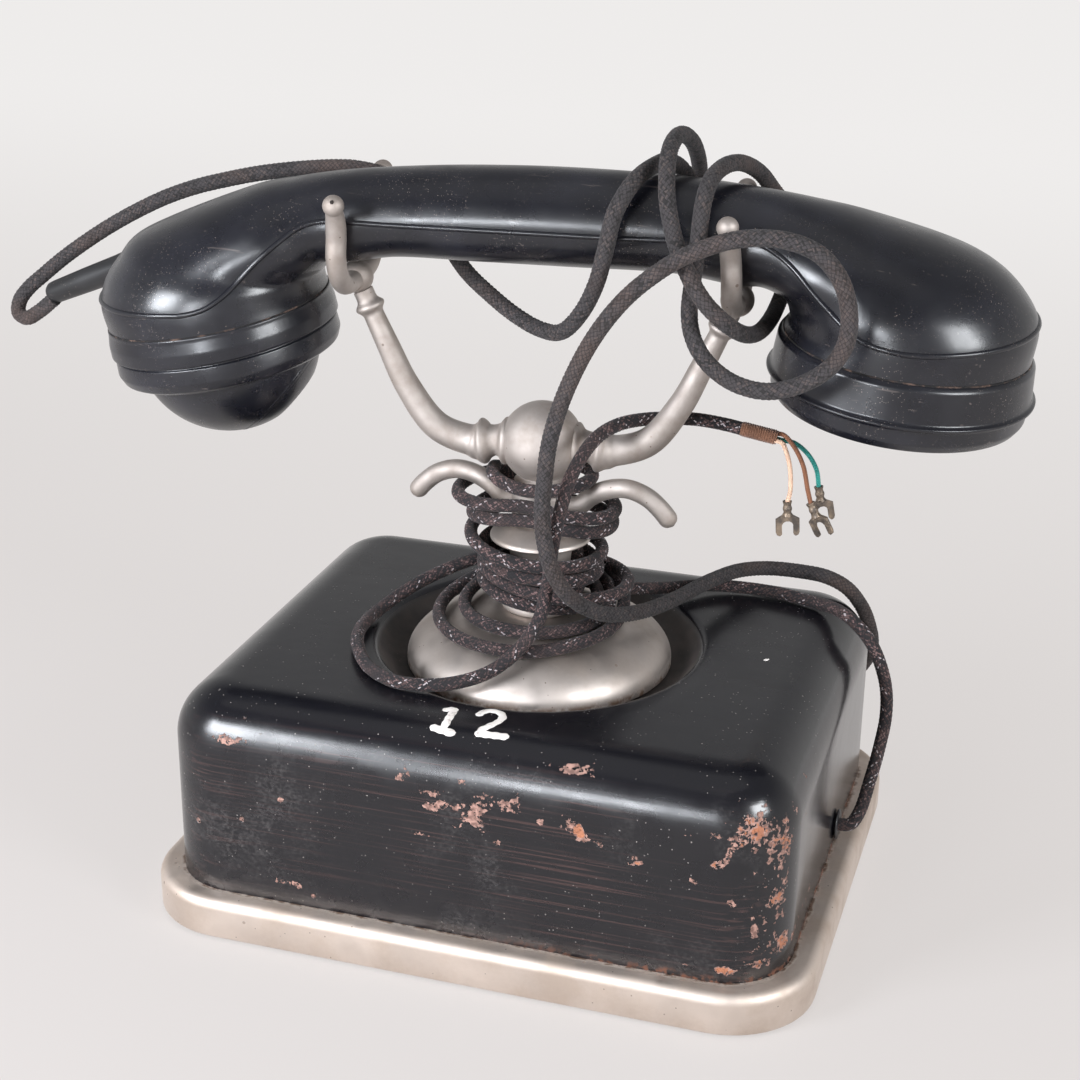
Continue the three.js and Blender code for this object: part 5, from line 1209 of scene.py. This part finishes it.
def arm_radius(distance, length):
    """The turned shape along the arm: flange, neck, bead, taper, and a bead below the fork."""
    near = [(0, 6.2), (0.9, 6.5), (2.0, 6.4), (2.5, 4.7), (4.2, 4.1), (5.6, 4.5), (6.5, 5.9), (7.4, 6.4),
            (8.3, 5.9), (9.1, 4.9), (9.7, 5.1), (10.5, 4.5), (11.5, 4.15)]
    far = [(length - 6.6, 2.75), (length - 5.9, 3.1), (length - 5.2, 3.9), (length - 4.6, 4.1),
           (length - 4, 3.9), (length - 3.3, 3.0), (length - 2.4, 2.7), (length, 2.7)]
    places, radii = np.array(near + far).T
    return np.interp(distance, places, radii)


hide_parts("cradle_ball")
cradle_pieces = [ball]
for side, word in ((-1, "left"), (1, "right")):
    route = arm_route(side)
    distance = np.arange(len(route)) * ARM_STEP
    radii = arm_radius(distance, distance[-1])
    soft = np.convolve(np.pad(radii, 2, mode="edge"), [0.1, 0.22, 0.36, 0.22, 0.1], mode="valid")
    arm = skin(f"arm_{word}_turned", in_cradle(tube_rings(route, soft, 32)), nickel, sharp=60)
    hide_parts(f"arm_{word}")
    cradle_pieces.append(arm)
print(f"an arm is {distance[-1]:.0f} mm along its bend")

# %% Forks
FORK_WIRE = 2.65
FORK_HALF = 18.7
FORK_TOP = 189.8
FORK_STEP = 0.6
FORK_TIP = 2.75


def globe(centre, radius, segments=32):
    """Rings of a ball round a vertical axis."""
    turns = np.radians(np.linspace(-90, 90, segments // 2 + 1))
    profile = [(radius * math.cos(turn), radius * math.sin(turn)) for turn in turns]
    return turned_rings(profile, segments) + np.asarray(centre, float)


def fork_route(side):
    lean = 1.1
    half = [(FORK_HALF + 4.6, FORK_TOP, lean), (FORK_HALF + 2, FORK_TOP - 4.4, lean * 0.7),
            (FORK_HALF + 0.3, FORK_TOP - 9.4, lean * 0.3), (FORK_HALF, FORK_TOP - 14, 0),
            (FORK_HALF - 1.9, HUB_HEIGHT + 4.6, 0), (FORK_HALF - 6, HUB_HEIGHT + 1.2, 0),
            (FORK_HALF - 11.5, HUB_HEIGHT, 0)]
    front_prong = [[side * (HUB_SPAN - inward), -y, z] for y, z, inward in half]
    back_prong = [[side * (HUB_SPAN - inward), y, z] for y, z, inward in reversed(half)]
    return smooth_route([*front_prong, [side * HUB_SPAN, 0, HUB_HEIGHT], *back_prong], FORK_STEP)


for side, word in ((-1, "left"), (1, "right")):
    route = fork_route(side)
    from_end = np.minimum(np.arange(len(route)), np.arange(len(route))[::-1]) * FORK_STEP
    wire_radius = FORK_WIRE * (0.86 + 0.14 * np.clip((from_end - 2) / 5, 0, 1))
    shapes = [tube_rings(route, wire_radius, 28), globe([side * HUB_SPAN, 0, HUB_HEIGHT], HUB, 40),
              globe(route[0], FORK_TIP), globe(route[-1], FORK_TIP)]
    points, faces = [], []
    for rings in shapes:
        faces += [tuple(index + len(points) for index in face) for face in grid_faces(*rings.shape[:2])]
        points += rings.reshape(-1, 3).tolist()
    fork = add_mesh(f"fork_{word}_bent", in_cradle(points), faces, nickel, sharp=60)
    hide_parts(f"fork_{word}")
    cradle_pieces.append(fork)
for piece in cradle_pieces:
    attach(piece, "cradle")
# A very small dark ball in one fork tip: painted shade for the inside of a drilled hole.
hole_shade_paint, tree, shader = new_material("hole_shade_paint", (0.012, 0.009, 0.008), 0.9)
join(tree, blend_colours(tree, noise(tree, 900, 2), (0.010, 0.008, 0.007), (0.030, 0.020, 0.016)), shader,
     "Base Color")
tip = fork_route(-1)[0]
mark = skin("fork_tip_hole_shade_paint", in_cradle(globe(tip + np.array([0.35, -2.2, 1.4]), 0.55, 12)), hole_shade_paint)
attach(mark, "cradle")
print(f"{len(cradle_pieces)} pieces of the cradle")

# %% [markdown]
# ## Handset
#
# The handset is one ebonite moulding: two round heads, tilted towards the mouth and the ear, and a
# handle that grows out of them in one sweep. Its surface is a row of ovals. Each oval passes through a
# point on the outer edge and a point on the inner edge as seen from the front, and the ovals fan round
# each head. A few such ovals fix the form, and a smooth curve through them gives all the others. In the
# code SPEAK and HEAR are the radii of the two heads at the seams of their caps.

# %% Handset's form
REST_CLEAR = 4.7
TOP = REST_CLEAR + 26.6
HANDLE_HALF = 14.8
HANDLE_ARCH = 2.2
SPEAK_X, SPEAK_SEAM, SPEAK_TILT, SPEAK = -89.5, 156.2, math.radians(-10.8), 30.2
HEAR_X, HEAR_SEAM, HEAR_TILT, HEAR = 93.8, 158.2, math.radians(5.4), 31.4


def head_point(x, seam, tilt, radial, along):
    """A point of the front view, from its distance off the head's axis and above its seam."""
    return (x + radial * math.cos(tilt) + along * math.sin(tilt),
            seam - HUB_HEIGHT - radial * math.sin(tilt) + along * math.cos(tilt))


def speak(radial, along):
    return head_point(SPEAK_X, SPEAK_SEAM, SPEAK_TILT, radial, along)


def hear(radial, along):
    return head_point(HEAR_X, HEAR_SEAM, HEAR_TILT, -radial, along)


stations = [
    (speak(-SPEAK, 0), speak(SPEAK, 0), SPEAK), (speak(-SPEAK - 0.2, 6.6), speak(SPEAK - 0.2, 1.1), SPEAK),
    (speak(-SPEAK + 2.4, 12.6), speak(SPEAK - 0.2, 2.5), SPEAK - 0.6),
    (speak(-SPEAK + 7.6, 17.9), speak(SPEAK + 0.1, 3.9), SPEAK - 2),
    (speak(-SPEAK + 15, 22.8), speak(SPEAK + 0.9, 5.2), SPEAK - 4.6),
    ((-80, TOP - 9.3), speak(SPEAK + 2.8, 6.6), SPEAK - 8.6),
    ((-67, TOP - 5.9), (-55.5, REST_CLEAR + 0.2), HANDLE_HALF + 2.6),
    ((-54, TOP - 3.4), (-50.4, REST_CLEAR), HANDLE_HALF + 0.3),
    ((-38, TOP - 1.6), (-38, REST_CLEAR + HANDLE_ARCH), HANDLE_HALF),
    ((-18, TOP - 0.2), (-18, REST_CLEAR + HANDLE_ARCH), HANDLE_HALF),
    ((6, TOP + 0.4), (6, REST_CLEAR + HANDLE_ARCH), HANDLE_HALF),
    ((34, TOP - 0.3), (34, REST_CLEAR + HANDLE_ARCH), HANDLE_HALF),
    ((54, TOP - 2.1), (50.4, REST_CLEAR), HANDLE_HALF + 0.3),
    ((68, TOP - 4.3), (56.5, REST_CLEAR + 0.3), HANDLE_HALF + 2.6),
    ((83, TOP - 7.7), hear(HEAR + 1.6, 8.2), HEAR - 8.6),
    (hear(22 - HEAR, 25.7), hear(HEAR, 6.2), HEAR - 4.6),
    (hear(10.4 - HEAR, 20.9), hear(HEAR - 0.7, 4.6), HEAR - 2),
    (hear(3 - HEAR, 14.4), hear(HEAR - 1.1, 3.0), HEAR - 0.6),
    (hear(-HEAR - 0.1, 8.6), hear(HEAR - 1, 1.4), HEAR), (hear(-HEAR, 0), hear(HEAR, 0), HEAR),
]
station_outer = np.array([station[0] for station in stations])
station_inner = np.array([station[1] for station in stations])
station_half = np.array([station[2] for station in stations])

# %% Handset's skin
HANDSET_RINGS = 190
HANDSET_SIDES = 88
outer_strides, inner_strides = (np.linalg.norm(np.diff(edge, axis=0), axis=1)
                                for edge in (station_outer, station_inner))
station_place = np.concatenate([[0], np.cumsum(np.sqrt(outer_strides + inner_strides))])
ring_place = np.linspace(0, station_place[-1], HANDSET_RINGS)
outer_edge, inner_edge = (np.column_stack([through_stations(station_place, edge[:, axis], ring_place)
                                           for axis in (0, 1)]) for edge in (station_outer, station_inner))
half_width = through_stations(station_place, station_half, ring_place)
around = np.arange(HANDSET_SIDES) * 2 * math.pi / HANDSET_SIDES
body_rings = []
for outer_point, inner_point, half in zip(outer_edge, inner_edge, half_width):
    centre, arm_out = (outer_point + inner_point) / 2, (outer_point - inner_point) / 2
    ring_x = centre[0] + arm_out[0] * np.cos(around)
    ring_z = centre[1] + arm_out[1] * np.cos(around)
    body_rings.append(np.column_stack([ring_x, half * np.sin(around), ring_z]))
body_rings = np.array(body_rings)
body_faces = grid_faces(HANDSET_RINGS, HANDSET_SIDES)
handset_pieces = {"handset_body": add_mesh("handset_body_moulding", in_handset(body_rings.reshape(-1, 3)),
                                           body_faces, ebonite, 50)}
print(f"handset moulding {body_rings[:, :, 0].max() - body_rings[:, :, 0].min():.0f} mm long")

# %% [markdown]
# ## Bead round the handset
#
# A fine raised bead marks where the two halves of the mould met. It runs round each head a little above
# the seam of the cap, climbs in an S to the widest line of the handle, and comes back along the other
# side. To lay it on the surface, a ray is sent in from outside at each place along it.

# %% Bead
body_tree = BVHTree.FromPolygons([Vector(point) for point in body_rings.reshape(-1, 3)], body_faces)
bead_x = [-89.5, -83, -77.7, -72.9, -69.4, -66.2, -60.1, -55.1, -47, -38, -20, 0, 20, 38, 47.8, 56.6, 65.8,
          73.7, 82.8, 93.8]
bead_z = [-3.8, -2.2, 1.5, 6.7, 10.3, 13.1, 17.6, 18.8, 18.9, 18.8, 18.8, 18.8, 18.8, 19.2, 20.2, 19.6,
          14.7, 7.3, 1.0, -1.0]


def on_surface(origin, aim):
    hit = body_tree.ray_cast(Vector(origin), Vector(aim).normalized())[0]
    return None if hit is None else np.array(hit)


def round_head(x, seam, tilt, height, climb, start, end):
    """Bead points round a head's outer side, a little higher above its seam at the far end."""
    points = []
    for angle in np.radians(np.linspace(start, end, 40)):
        radial = np.array([math.cos(angle), math.sin(angle)])
        axis_x, axis_z = head_point(x, seam, tilt, 0, height + climb * abs(radial[0]))
        away = np.array([radial[0] * math.cos(tilt), radial[1], -radial[0] * math.sin(tilt)])
        centre = np.array([axis_x, 0, axis_z])
        points.append(on_surface(centre + away * 60, -away))
    return points


along_handle = np.linspace(bead_x[0], bead_x[-1], 150)
heights = through_stations(bead_x, bead_z, along_handle)
front_line = [on_surface([x, -70, z], [0, 1, 0]) for x, z in zip(along_handle, heights)]
back_line = [on_surface([x, 70, z], [0, -1, 0]) for x, z in zip(along_handle, heights)]
round_hear = round_head(HEAR_X, HEAR_SEAM, HEAR_TILT, 6.8, 3, -86, 86)
round_speak = round_head(SPEAK_X, SPEAK_SEAM, SPEAK_TILT, 6.1, 2.3, 94, 266)
whole_line = [*front_line, *round_hear, *back_line[::-1], *round_speak]
bead_line = [point for point in whole_line if point is not None]
bead_line.append(bead_line[0])
bead_path = evenly(np.array(bead_line), 1.0)
for _ in range(6):
    bead_path[1:-1] = (bead_path[:-2] + bead_path[1:-1] * 2 + bead_path[2:]) / 4
bead = skin("handset_bead", in_handset(tube_rings(bead_path, 0.7, 10)), ebonite)
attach(bead, "handset")
print(f"the bead is {route_length(bead_path):.0f} mm round")

# %% [markdown]
# ## Caps, hood and sleeve
#
# Both caps screw onto the heads and hide the seam behind a small step. The mouthpiece cap carries a
# hood like half an egg, open at a round mouth that faces the speaker's lips, with a rolled lip. The ear
# cap swells to a thin ridge and is dished towards a hole. The mouth's opening is cut out of the hood
# with a boolean, because a lathe can't make it. Brown dust sits in the join of each cap, and a thin ring
# of dusty brown stands for it. The cord leaves through a rubber sleeve that closes round it, and the
# sleeve sits in a boss behind the speaking head.

# %% Pieces turned on a head's axis
def on_head(points, x, seam, tilt):
    """Points round a head's axis, brought to where the head is."""
    tilted = turn_about(np.asarray(points, float).reshape(-1, 3), "Y", tilt)
    return in_handset(tilted + [x, 0, seam - HUB_HEIGHT])


def on_speak(points):
    return on_head(points, SPEAK_X, SPEAK_SEAM, SPEAK_TILT)


def on_hear(points):
    return on_head(points, HEAR_X, HEAR_SEAM, HEAR_TILT)


def turned_on(name, profile, placing, corner):
    rings = turned_rings(eased(profile, corner), HEAD_SIDES)
    return add_mesh(name, placing(rings), grid_faces(len(rings), HEAD_SIDES, ends=False), ebonite, 45)


HEAD_SIDES = 112
HOOD = 25.0
HOOD_SEAT = HOOD + 0.3
CAP_RIDGE = 31.2
speak_cap_profile = [
    (HOOD_SEAT, -14.6), (HOOD_SEAT, -16), (HOOD_SEAT + 2.4, -16), (CAP_RIDGE - 1.5, -14.9),
    (CAP_RIDGE - 0.5, -12.6), (CAP_RIDGE - 0.75, -8.7), (CAP_RIDGE - 1.2, -8.4), (CAP_RIDGE - 1.2, -8.0),
    (CAP_RIDGE, -7.7), (CAP_RIDGE - 0.1, -4.4), (CAP_RIDGE - 0.7, -1.3), (SPEAK + 0.3, -0.25),
    (HOOD_SEAT, -0.3), (HOOD_SEAT, -14.6),
]
handset_pieces["mouthpiece_cap"] = turned_on("mouthpiece_cap_turned", speak_cap_profile, on_speak, 0.4)
EAR_RIDGE = 34.5
ear_cap_profile = [
    (5, -16.4), (12, -17.4), (22, -18.7), (27, -19), (HEAR - 0.2, -17.5), (EAR_RIDGE - 1.9, -15.4),
    (EAR_RIDGE - 1.5, -11.6), (EAR_RIDGE - 0.2, -11.0), (EAR_RIDGE - 0.1, -10.3), (EAR_RIDGE - 1.2, -9.8),
    (EAR_RIDGE - 1.9, -1.4), (HEAR + 0.2, -0.25), (28.4, -0.3), (28.4, -3.4), (5, -4), (5, -16.4),
]
handset_pieces["ear_cap"] = turned_on("ear_cap_turned", ear_cap_profile, on_hear, 0.5)
seam_dust, tree, shader = new_material("seam_dust", (0.10, 0.06, 0.042), 0.95)
dusty_places = patches(tree, 260, 4, 0.48, 0.70)
join(tree, blend_colours(tree, dusty_places, (0.008, 0.007, 0.007), (0.115, 0.070, 0.052)), shader,
     "Base Color")
for name, reach, placing in (("speak_seam_dust", SPEAK, on_speak), ("hear_seam_dust", HEAR, on_hear)):
    section = [(reach - 0.5, -0.4), (reach + 0.12, -0.4), (reach + 0.12, 0.1), (reach - 0.5, 0.1),
               (reach - 0.5, -0.4)]
    dust_line = add_mesh(name, placing(turned_rings(section, HEAD_SIDES)),
                         grid_faces(5, HEAD_SIDES, ends=False), seam_dust, 45)
    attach(dust_line, "handset")
print("two caps")

# %% Hood with its mouth
HOOD_DROP = 10.3
HOOD_WALL = 2
MOUTH = 8.8
MOUTH_LEAN = math.pi / 2 + math.radians(42) - SPEAK_TILT
MOUTH_ASIDE = math.radians(13)


def to_mouth(points):
    """From a drawing along +Z to the mouth's own direction on the hood."""
    leaned = turn_about(np.asarray(points, float).reshape(-1, 3), "Y", MOUTH_LEAN)
    return on_speak(turn_about(leaned, "Z", MOUTH_ASIDE) + [0, 0, -HOOD_DROP])


def hood_side(radius):
    turns = [math.radians(90 * step / 28) for step in range(29)]
    return [(max(radius * math.cos(turn), NEAR_AXIS), -HOOD_DROP - radius * math.sin(turn)) for turn in turns]


hood_inner = HOOD - HOOD_WALL
hood_profile = hood_side(HOOD)[::-1] + [(HOOD, -4.2), (hood_inner, -4.2)] + hood_side(hood_inner)
hood = add_mesh("mouthpiece_hood_turned", on_speak(turned_rings(hood_profile, HEAD_SIDES)),
                grid_faces(len(hood_profile), HEAD_SIDES), ebonite, 40)
cutter_rings = turned_rings([(NEAR_AXIS, 10), (MOUTH, 10), (MOUTH, 34), (NEAR_AXIS, 34)], 72)
cutter = add_mesh("cutter", to_mouth(cutter_rings), grid_faces(4, 72), ebonite, None)


def carve(piece, tool):
    """Takes the tool's space out of the piece, and removes the tool."""
    boolean = piece.modifiers.new("mouth", "BOOLEAN")
    boolean.object = tool
    boolean.operation = "DIFFERENCE"
    boolean.solver = "EXACT"
    graph = bpy.context.evaluated_depsgraph_get()
    carved = bpy.data.meshes.new_from_object(piece.evaluated_get(graph))
    piece.modifiers.clear()
    piece.data = carved
    bpy.data.objects.remove(tool)


carve(hood, cutter)
lip_shape = [(43, -0.6), (42, 0.1), (39.6, 0.1), (39, -0.3), (38.3, 0.05), (34.4, -0.05), (33.7, -0.45),
             (32.9, -0.1), (30, -0.2), (27.2, -0.5), (25, -1.1), (23.6, -2), (23.2, -3), (24.5, -4.2)]
lip_profile = [((HOOD + lift) * math.sin(math.radians(angle)), (HOOD + lift) * math.cos(math.radians(angle)))
               for angle, lift in lip_shape]
lip_rings = turned_rings(eased(lip_profile + lip_profile[:1], 0.25, 3), 96)
lip = add_mesh("mouthpiece_lip", to_mouth(lip_rings), grid_faces(len(lip_rings), 96, ends=False), ebonite, 60)
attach(lip, "handset")
handset_pieces["mouthpiece_hood"] = hood
print(f"hood of {len(hood.data.polygons)} faces after carving")

# %% Cord boss and rubber sleeve
BOSS_START = np.array([SPEAK_X - 22.5, 17, SPEAK_SEAM + 7.8 - HUB_HEIGHT])
SLEEVE_AXIS = np.array([-0.897, 0.178, -0.405])
SLEEVE_AXIS /= np.linalg.norm(SLEEVE_AXIS)


def along_sleeve(stations, sides=40):
    distances, radii = np.array(stations).T
    fine = np.linspace(distances[0], distances[-1], 70)
    path = BOSS_START + fine[:, None] * SLEEVE_AXIS
    return tube_rings(path, np.interp(fine, distances, radii), sides)


boss = skin("cord_boss",
            in_handset(along_sleeve([(0, 7.4), (2, 6.4), (4, 5.6), (6, 5.25), (8.2, 5.2), (9, 4.7)])),
            ebonite)
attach(boss, "handset")
cord_reach = float((np.array(handset_route[0]) - in_handset(BOSS_START[None])[0]) @ SLEEVE_AXIS)
sleeve_stations = [(8.6, 3.7), (9.3, 3.95), (12, 3.8), (15, 3.65), (27, 3.5), (cord_reach - 1.2, 3.2),
                   (cord_reach + 0.4, 3.05), (cord_reach + 1.3, 2.5)]
print(f"the cord leaves its sleeve {cord_reach:.1f} mm from the boss")
sleeve = skin("cord_sleeve_rubber", in_handset(along_sleeve(sleeve_stations)), rubber)
handset_pieces["cord_sleeve"] = sleeve
for node, piece in handset_pieces.items():
    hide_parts(node)
    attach(piece, "handset")
print(f"{len(handset_pieces)} pieces of the handset")

# %% [markdown]
# ## Bushes and the insides
#
# A rubber bush keeps each cord from chafing where it enters the case. The pieces inside the case are
# the engineer's own solids, and they only need believable metal, varnished wire, fibre and felt.

# %% Bushes
BUSH_SIDES = 48


def bush_rings(cord_diameter):
    bore = cord_diameter / 2 + 0.1
    profile = [(bore, -2.2), (4.5, -2.2), (4.5, -1.9), (3.3, -1.9), (3.3, 0.3), (4.2, 0.3), (4.35, 0.7),
               (3.9, 1.1), (bore + 0.3, 1.1), (bore, 0.8), (bore, -2.2)]
    return turned_rings(eased(profile, 0.3), BUSH_SIDES)


for node, cord, axis, angle, middle in (("line_cord_bush", LINE_CORD, "Y", math.pi / 2, line_bush),
                                        ("handset_cord_bush", HANDSET_CORD, "X", -math.pi / 2, handset_bush)):
    rings = bush_rings(cord)
    points = turn_about(rings.reshape(-1, 3), axis, angle) + middle
    piece = add_mesh(f"{node}_moulded", points, grid_faces(len(rings), BUSH_SIDES, ends=False), rubber)
    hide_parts(node)
    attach(piece, "base")
print("two bushes")

# %% Finishes for the inner solids
def plain_metal(name, colour, roughness, scale=120):
    material, tree, shader = new_material(name, colour, roughness, 1.0)
    darker = [value * 0.6 for value in colour]
    join(tree, blend_colours(tree, soft_step(tree, noise(tree, scale, 4), 0.35, 0.7), colour, darker), shader,
         "Base Color")
    join(tree, remap(tree, noise(tree, scale * 2, 3), roughness * 0.8, roughness * 1.4), shader, "Roughness")
    bumped(tree, shader, noise(tree, scale * 5, 3), 0.00008, 0.3)
    return material


def plain_fibre(name, colour, roughness, scale, fleck):
    material, tree, shader = new_material(name, colour, roughness)
    join(tree, blend_colours(tree, soft_step(tree, noise(tree, scale, 4), 0.4, 0.65), colour, fleck), shader,
         "Base Color")
    bumped(tree, shader, noise(tree, scale * 2, 3), 0.00015, 0.6)
    return material


steel = plain_metal("steel", (0.36, 0.36, 0.37), 0.38)
bell_metal = plain_metal("bell_metal", (0.50, 0.43, 0.28), 0.26)
tinned = plain_metal("tinned_sheet", (0.42, 0.38, 0.33), 0.45)
aluminium = plain_metal("aluminium", (0.55, 0.55, 0.56), 0.4)
wire_coil = plain_fibre("varnished_wire", (0.20, 0.06, 0.025), 0.4, 900, (0.30, 0.10, 0.04))
fibre = plain_fibre("vulcan_fibre", (0.09, 0.035, 0.02), 0.7, 300, (0.13, 0.055, 0.03))
felt = plain_fibre("felt", (0.03, 0.05, 0.035), 0.95, 1400, (0.05, 0.075, 0.05))
INNER_FINISHES = {
    steel: ["base_plate", "clamp_nut", "plunger_rod", "plunger_spring", "ringer_frame", "clapper",
            "gong_post_left", "gong_post_right", "switch_bracket", "hook_lever", "receiver_diaphragm"],
    bell_metal: ["gong_left", "gong_right"],
    tinned: ["condenser", "receiver_unit"],
    aluminium: ["microphone_capsule"],
    wire_coil: ["ringer_coil_left", "ringer_coil_right", "induction_coil"],
    fibre: ["contact_springs", "terminal_strip"],
    felt: ["base_felt"],
}
for finish, nodes in INNER_FINISHES.items():
    for node in nodes:
        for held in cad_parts[node].material_slots:
            held.material = finish
print(f"{sum(len(nodes) for nodes in INNER_FINISHES.values())} inner solids")

# %% [markdown]
# ## Floor and light
#
# The telephone stands on a plain pale sheet. Two soft boxes stand high, one at the left and one at the
# right, a small weak one stands in front, and a wide dim sheet hangs overhead. Lacquer and ebonite show
# each box as a bright spot, so the boxes are small. A shop picture has an even, nearly white ground, so
# part of the sheet's colour as the camera or a reflection sees it is its own light, and the rest still
# takes the shadow.

# %% Floor
def plane_corners(half, height):
    return [[-half, -half, height], [half, -half, height], [half, half, height], [-half, half, height]]


OWN_LIGHT = 0.82
floor_paint, tree, shader = new_material("floor_paint", (0.84, 0.80, 0.785), 0.9)
shader.inputs["Specular IOR Level"].default_value = 0.1
# The floor's own light is dimmer near the telephone and paler far off: a painted fall of light across the
# sheet.
far = soft_step(tree, axes_of(tree, place(tree))[1], -0.45, 1.2)
glow = add_node(tree, "ShaderNodeEmission",
                {"Color": blend_colours(tree, far, (0.63, 0.590, 0.572), (0.957, 0.940, 0.928))})
rays = add_node(tree, "ShaderNodeLightPath").outputs
looked_at = most(tree, rays["Is Camera Ray"], rays["Is Glossy Ray"])
share = times(tree, looked_at, OWN_LIGHT)
mixed = add_node(tree, "ShaderNodeMixShader", {0: share, 1: shader.outputs[0], 2: glow.outputs[0]})
tree.links.new(mixed.outputs[0], tree.nodes["Material Output"].inputs["Surface"])
floor = add_mesh("floor", plane_corners(6000, -0.05), [(0, 1, 2, 3)], floor_paint, None)
print(f"{OWN_LIGHT:.0%} of the floor as the camera sees it is its own light")

# %% Sky and lamps
world = bpy.data.worlds.new("world")
bpy.context.scene.world = world
world.use_nodes = True
tree = world.node_tree
background = tree.nodes["Background"]
background.inputs["Color"].default_value = (0.90, 0.91, 0.94, 1)
background.inputs["Strength"].default_value = 0.50
height = axes_of(tree, add_node(tree, "ShaderNodeTexCoord").outputs["Generated"])[2]
fading = soft_step(tree, height, 0.0, 0.75)
pale = add_node(tree, "ShaderNodeBackground",
                {"Color": blend_colours(tree, fading, (0.72, 0.71, 0.70), (0.26, 0.26, 0.27))})
rays = add_node(tree, "ShaderNodeLightPath").outputs
seen = most(tree, most(tree, rays["Is Camera Ray"], rays["Is Glossy Ray"]), rays["Is Transmission Ray"])
mix = add_node(tree, "ShaderNodeMixShader", {0: seen, 1: background.outputs[0], 2: pale.outputs[0]})
tree.links.new(mix.outputs[0], tree.nodes["World Output"].inputs["Surface"])


def soft_lamp(name, place_mm, aim_mm, size, size_y, watts, colour):
    """A rectangular lamp that looks at a point of the telephone."""
    data = bpy.data.lights.new(name, "AREA")
    data.shape = "RECTANGLE"
    data.size, data.size_y = size, size_y
    data.energy = watts
    data.color = colour
    lamp = bpy.data.objects.new(name, data)
    bpy.context.scene.collection.objects.link(lamp)
    lamp.location = Vector(place_mm) * MM
    direction = (Vector(aim_mm) - Vector(place_mm)) * MM
    lamp.rotation_euler = direction.to_track_quat("-Z", "Y").to_euler()
    return lamp


soft_lamp("left_box", (-335, -440, 300), (0, 0, 100), 0.21, 0.19, 4.2, (0.90, 0.94, 1.0))
soft_lamp("front_box", (-75, -520, 205), (0, 0, 150), 0.12, 0.07, 1.15, (0.90, 0.94, 1.0))
soft_lamp("right_box", (590, -290, 370), (0, 0, 90), 0.26, 0.23, 3.6, (0.94, 0.97, 1.0))
soft_lamp("overhead_sheet", (-100, -100, 1500), (0, 0, 80), 1.2, 1.2, 1.2, (1.0, 0.98, 0.96))
print("one floor and four lamps")
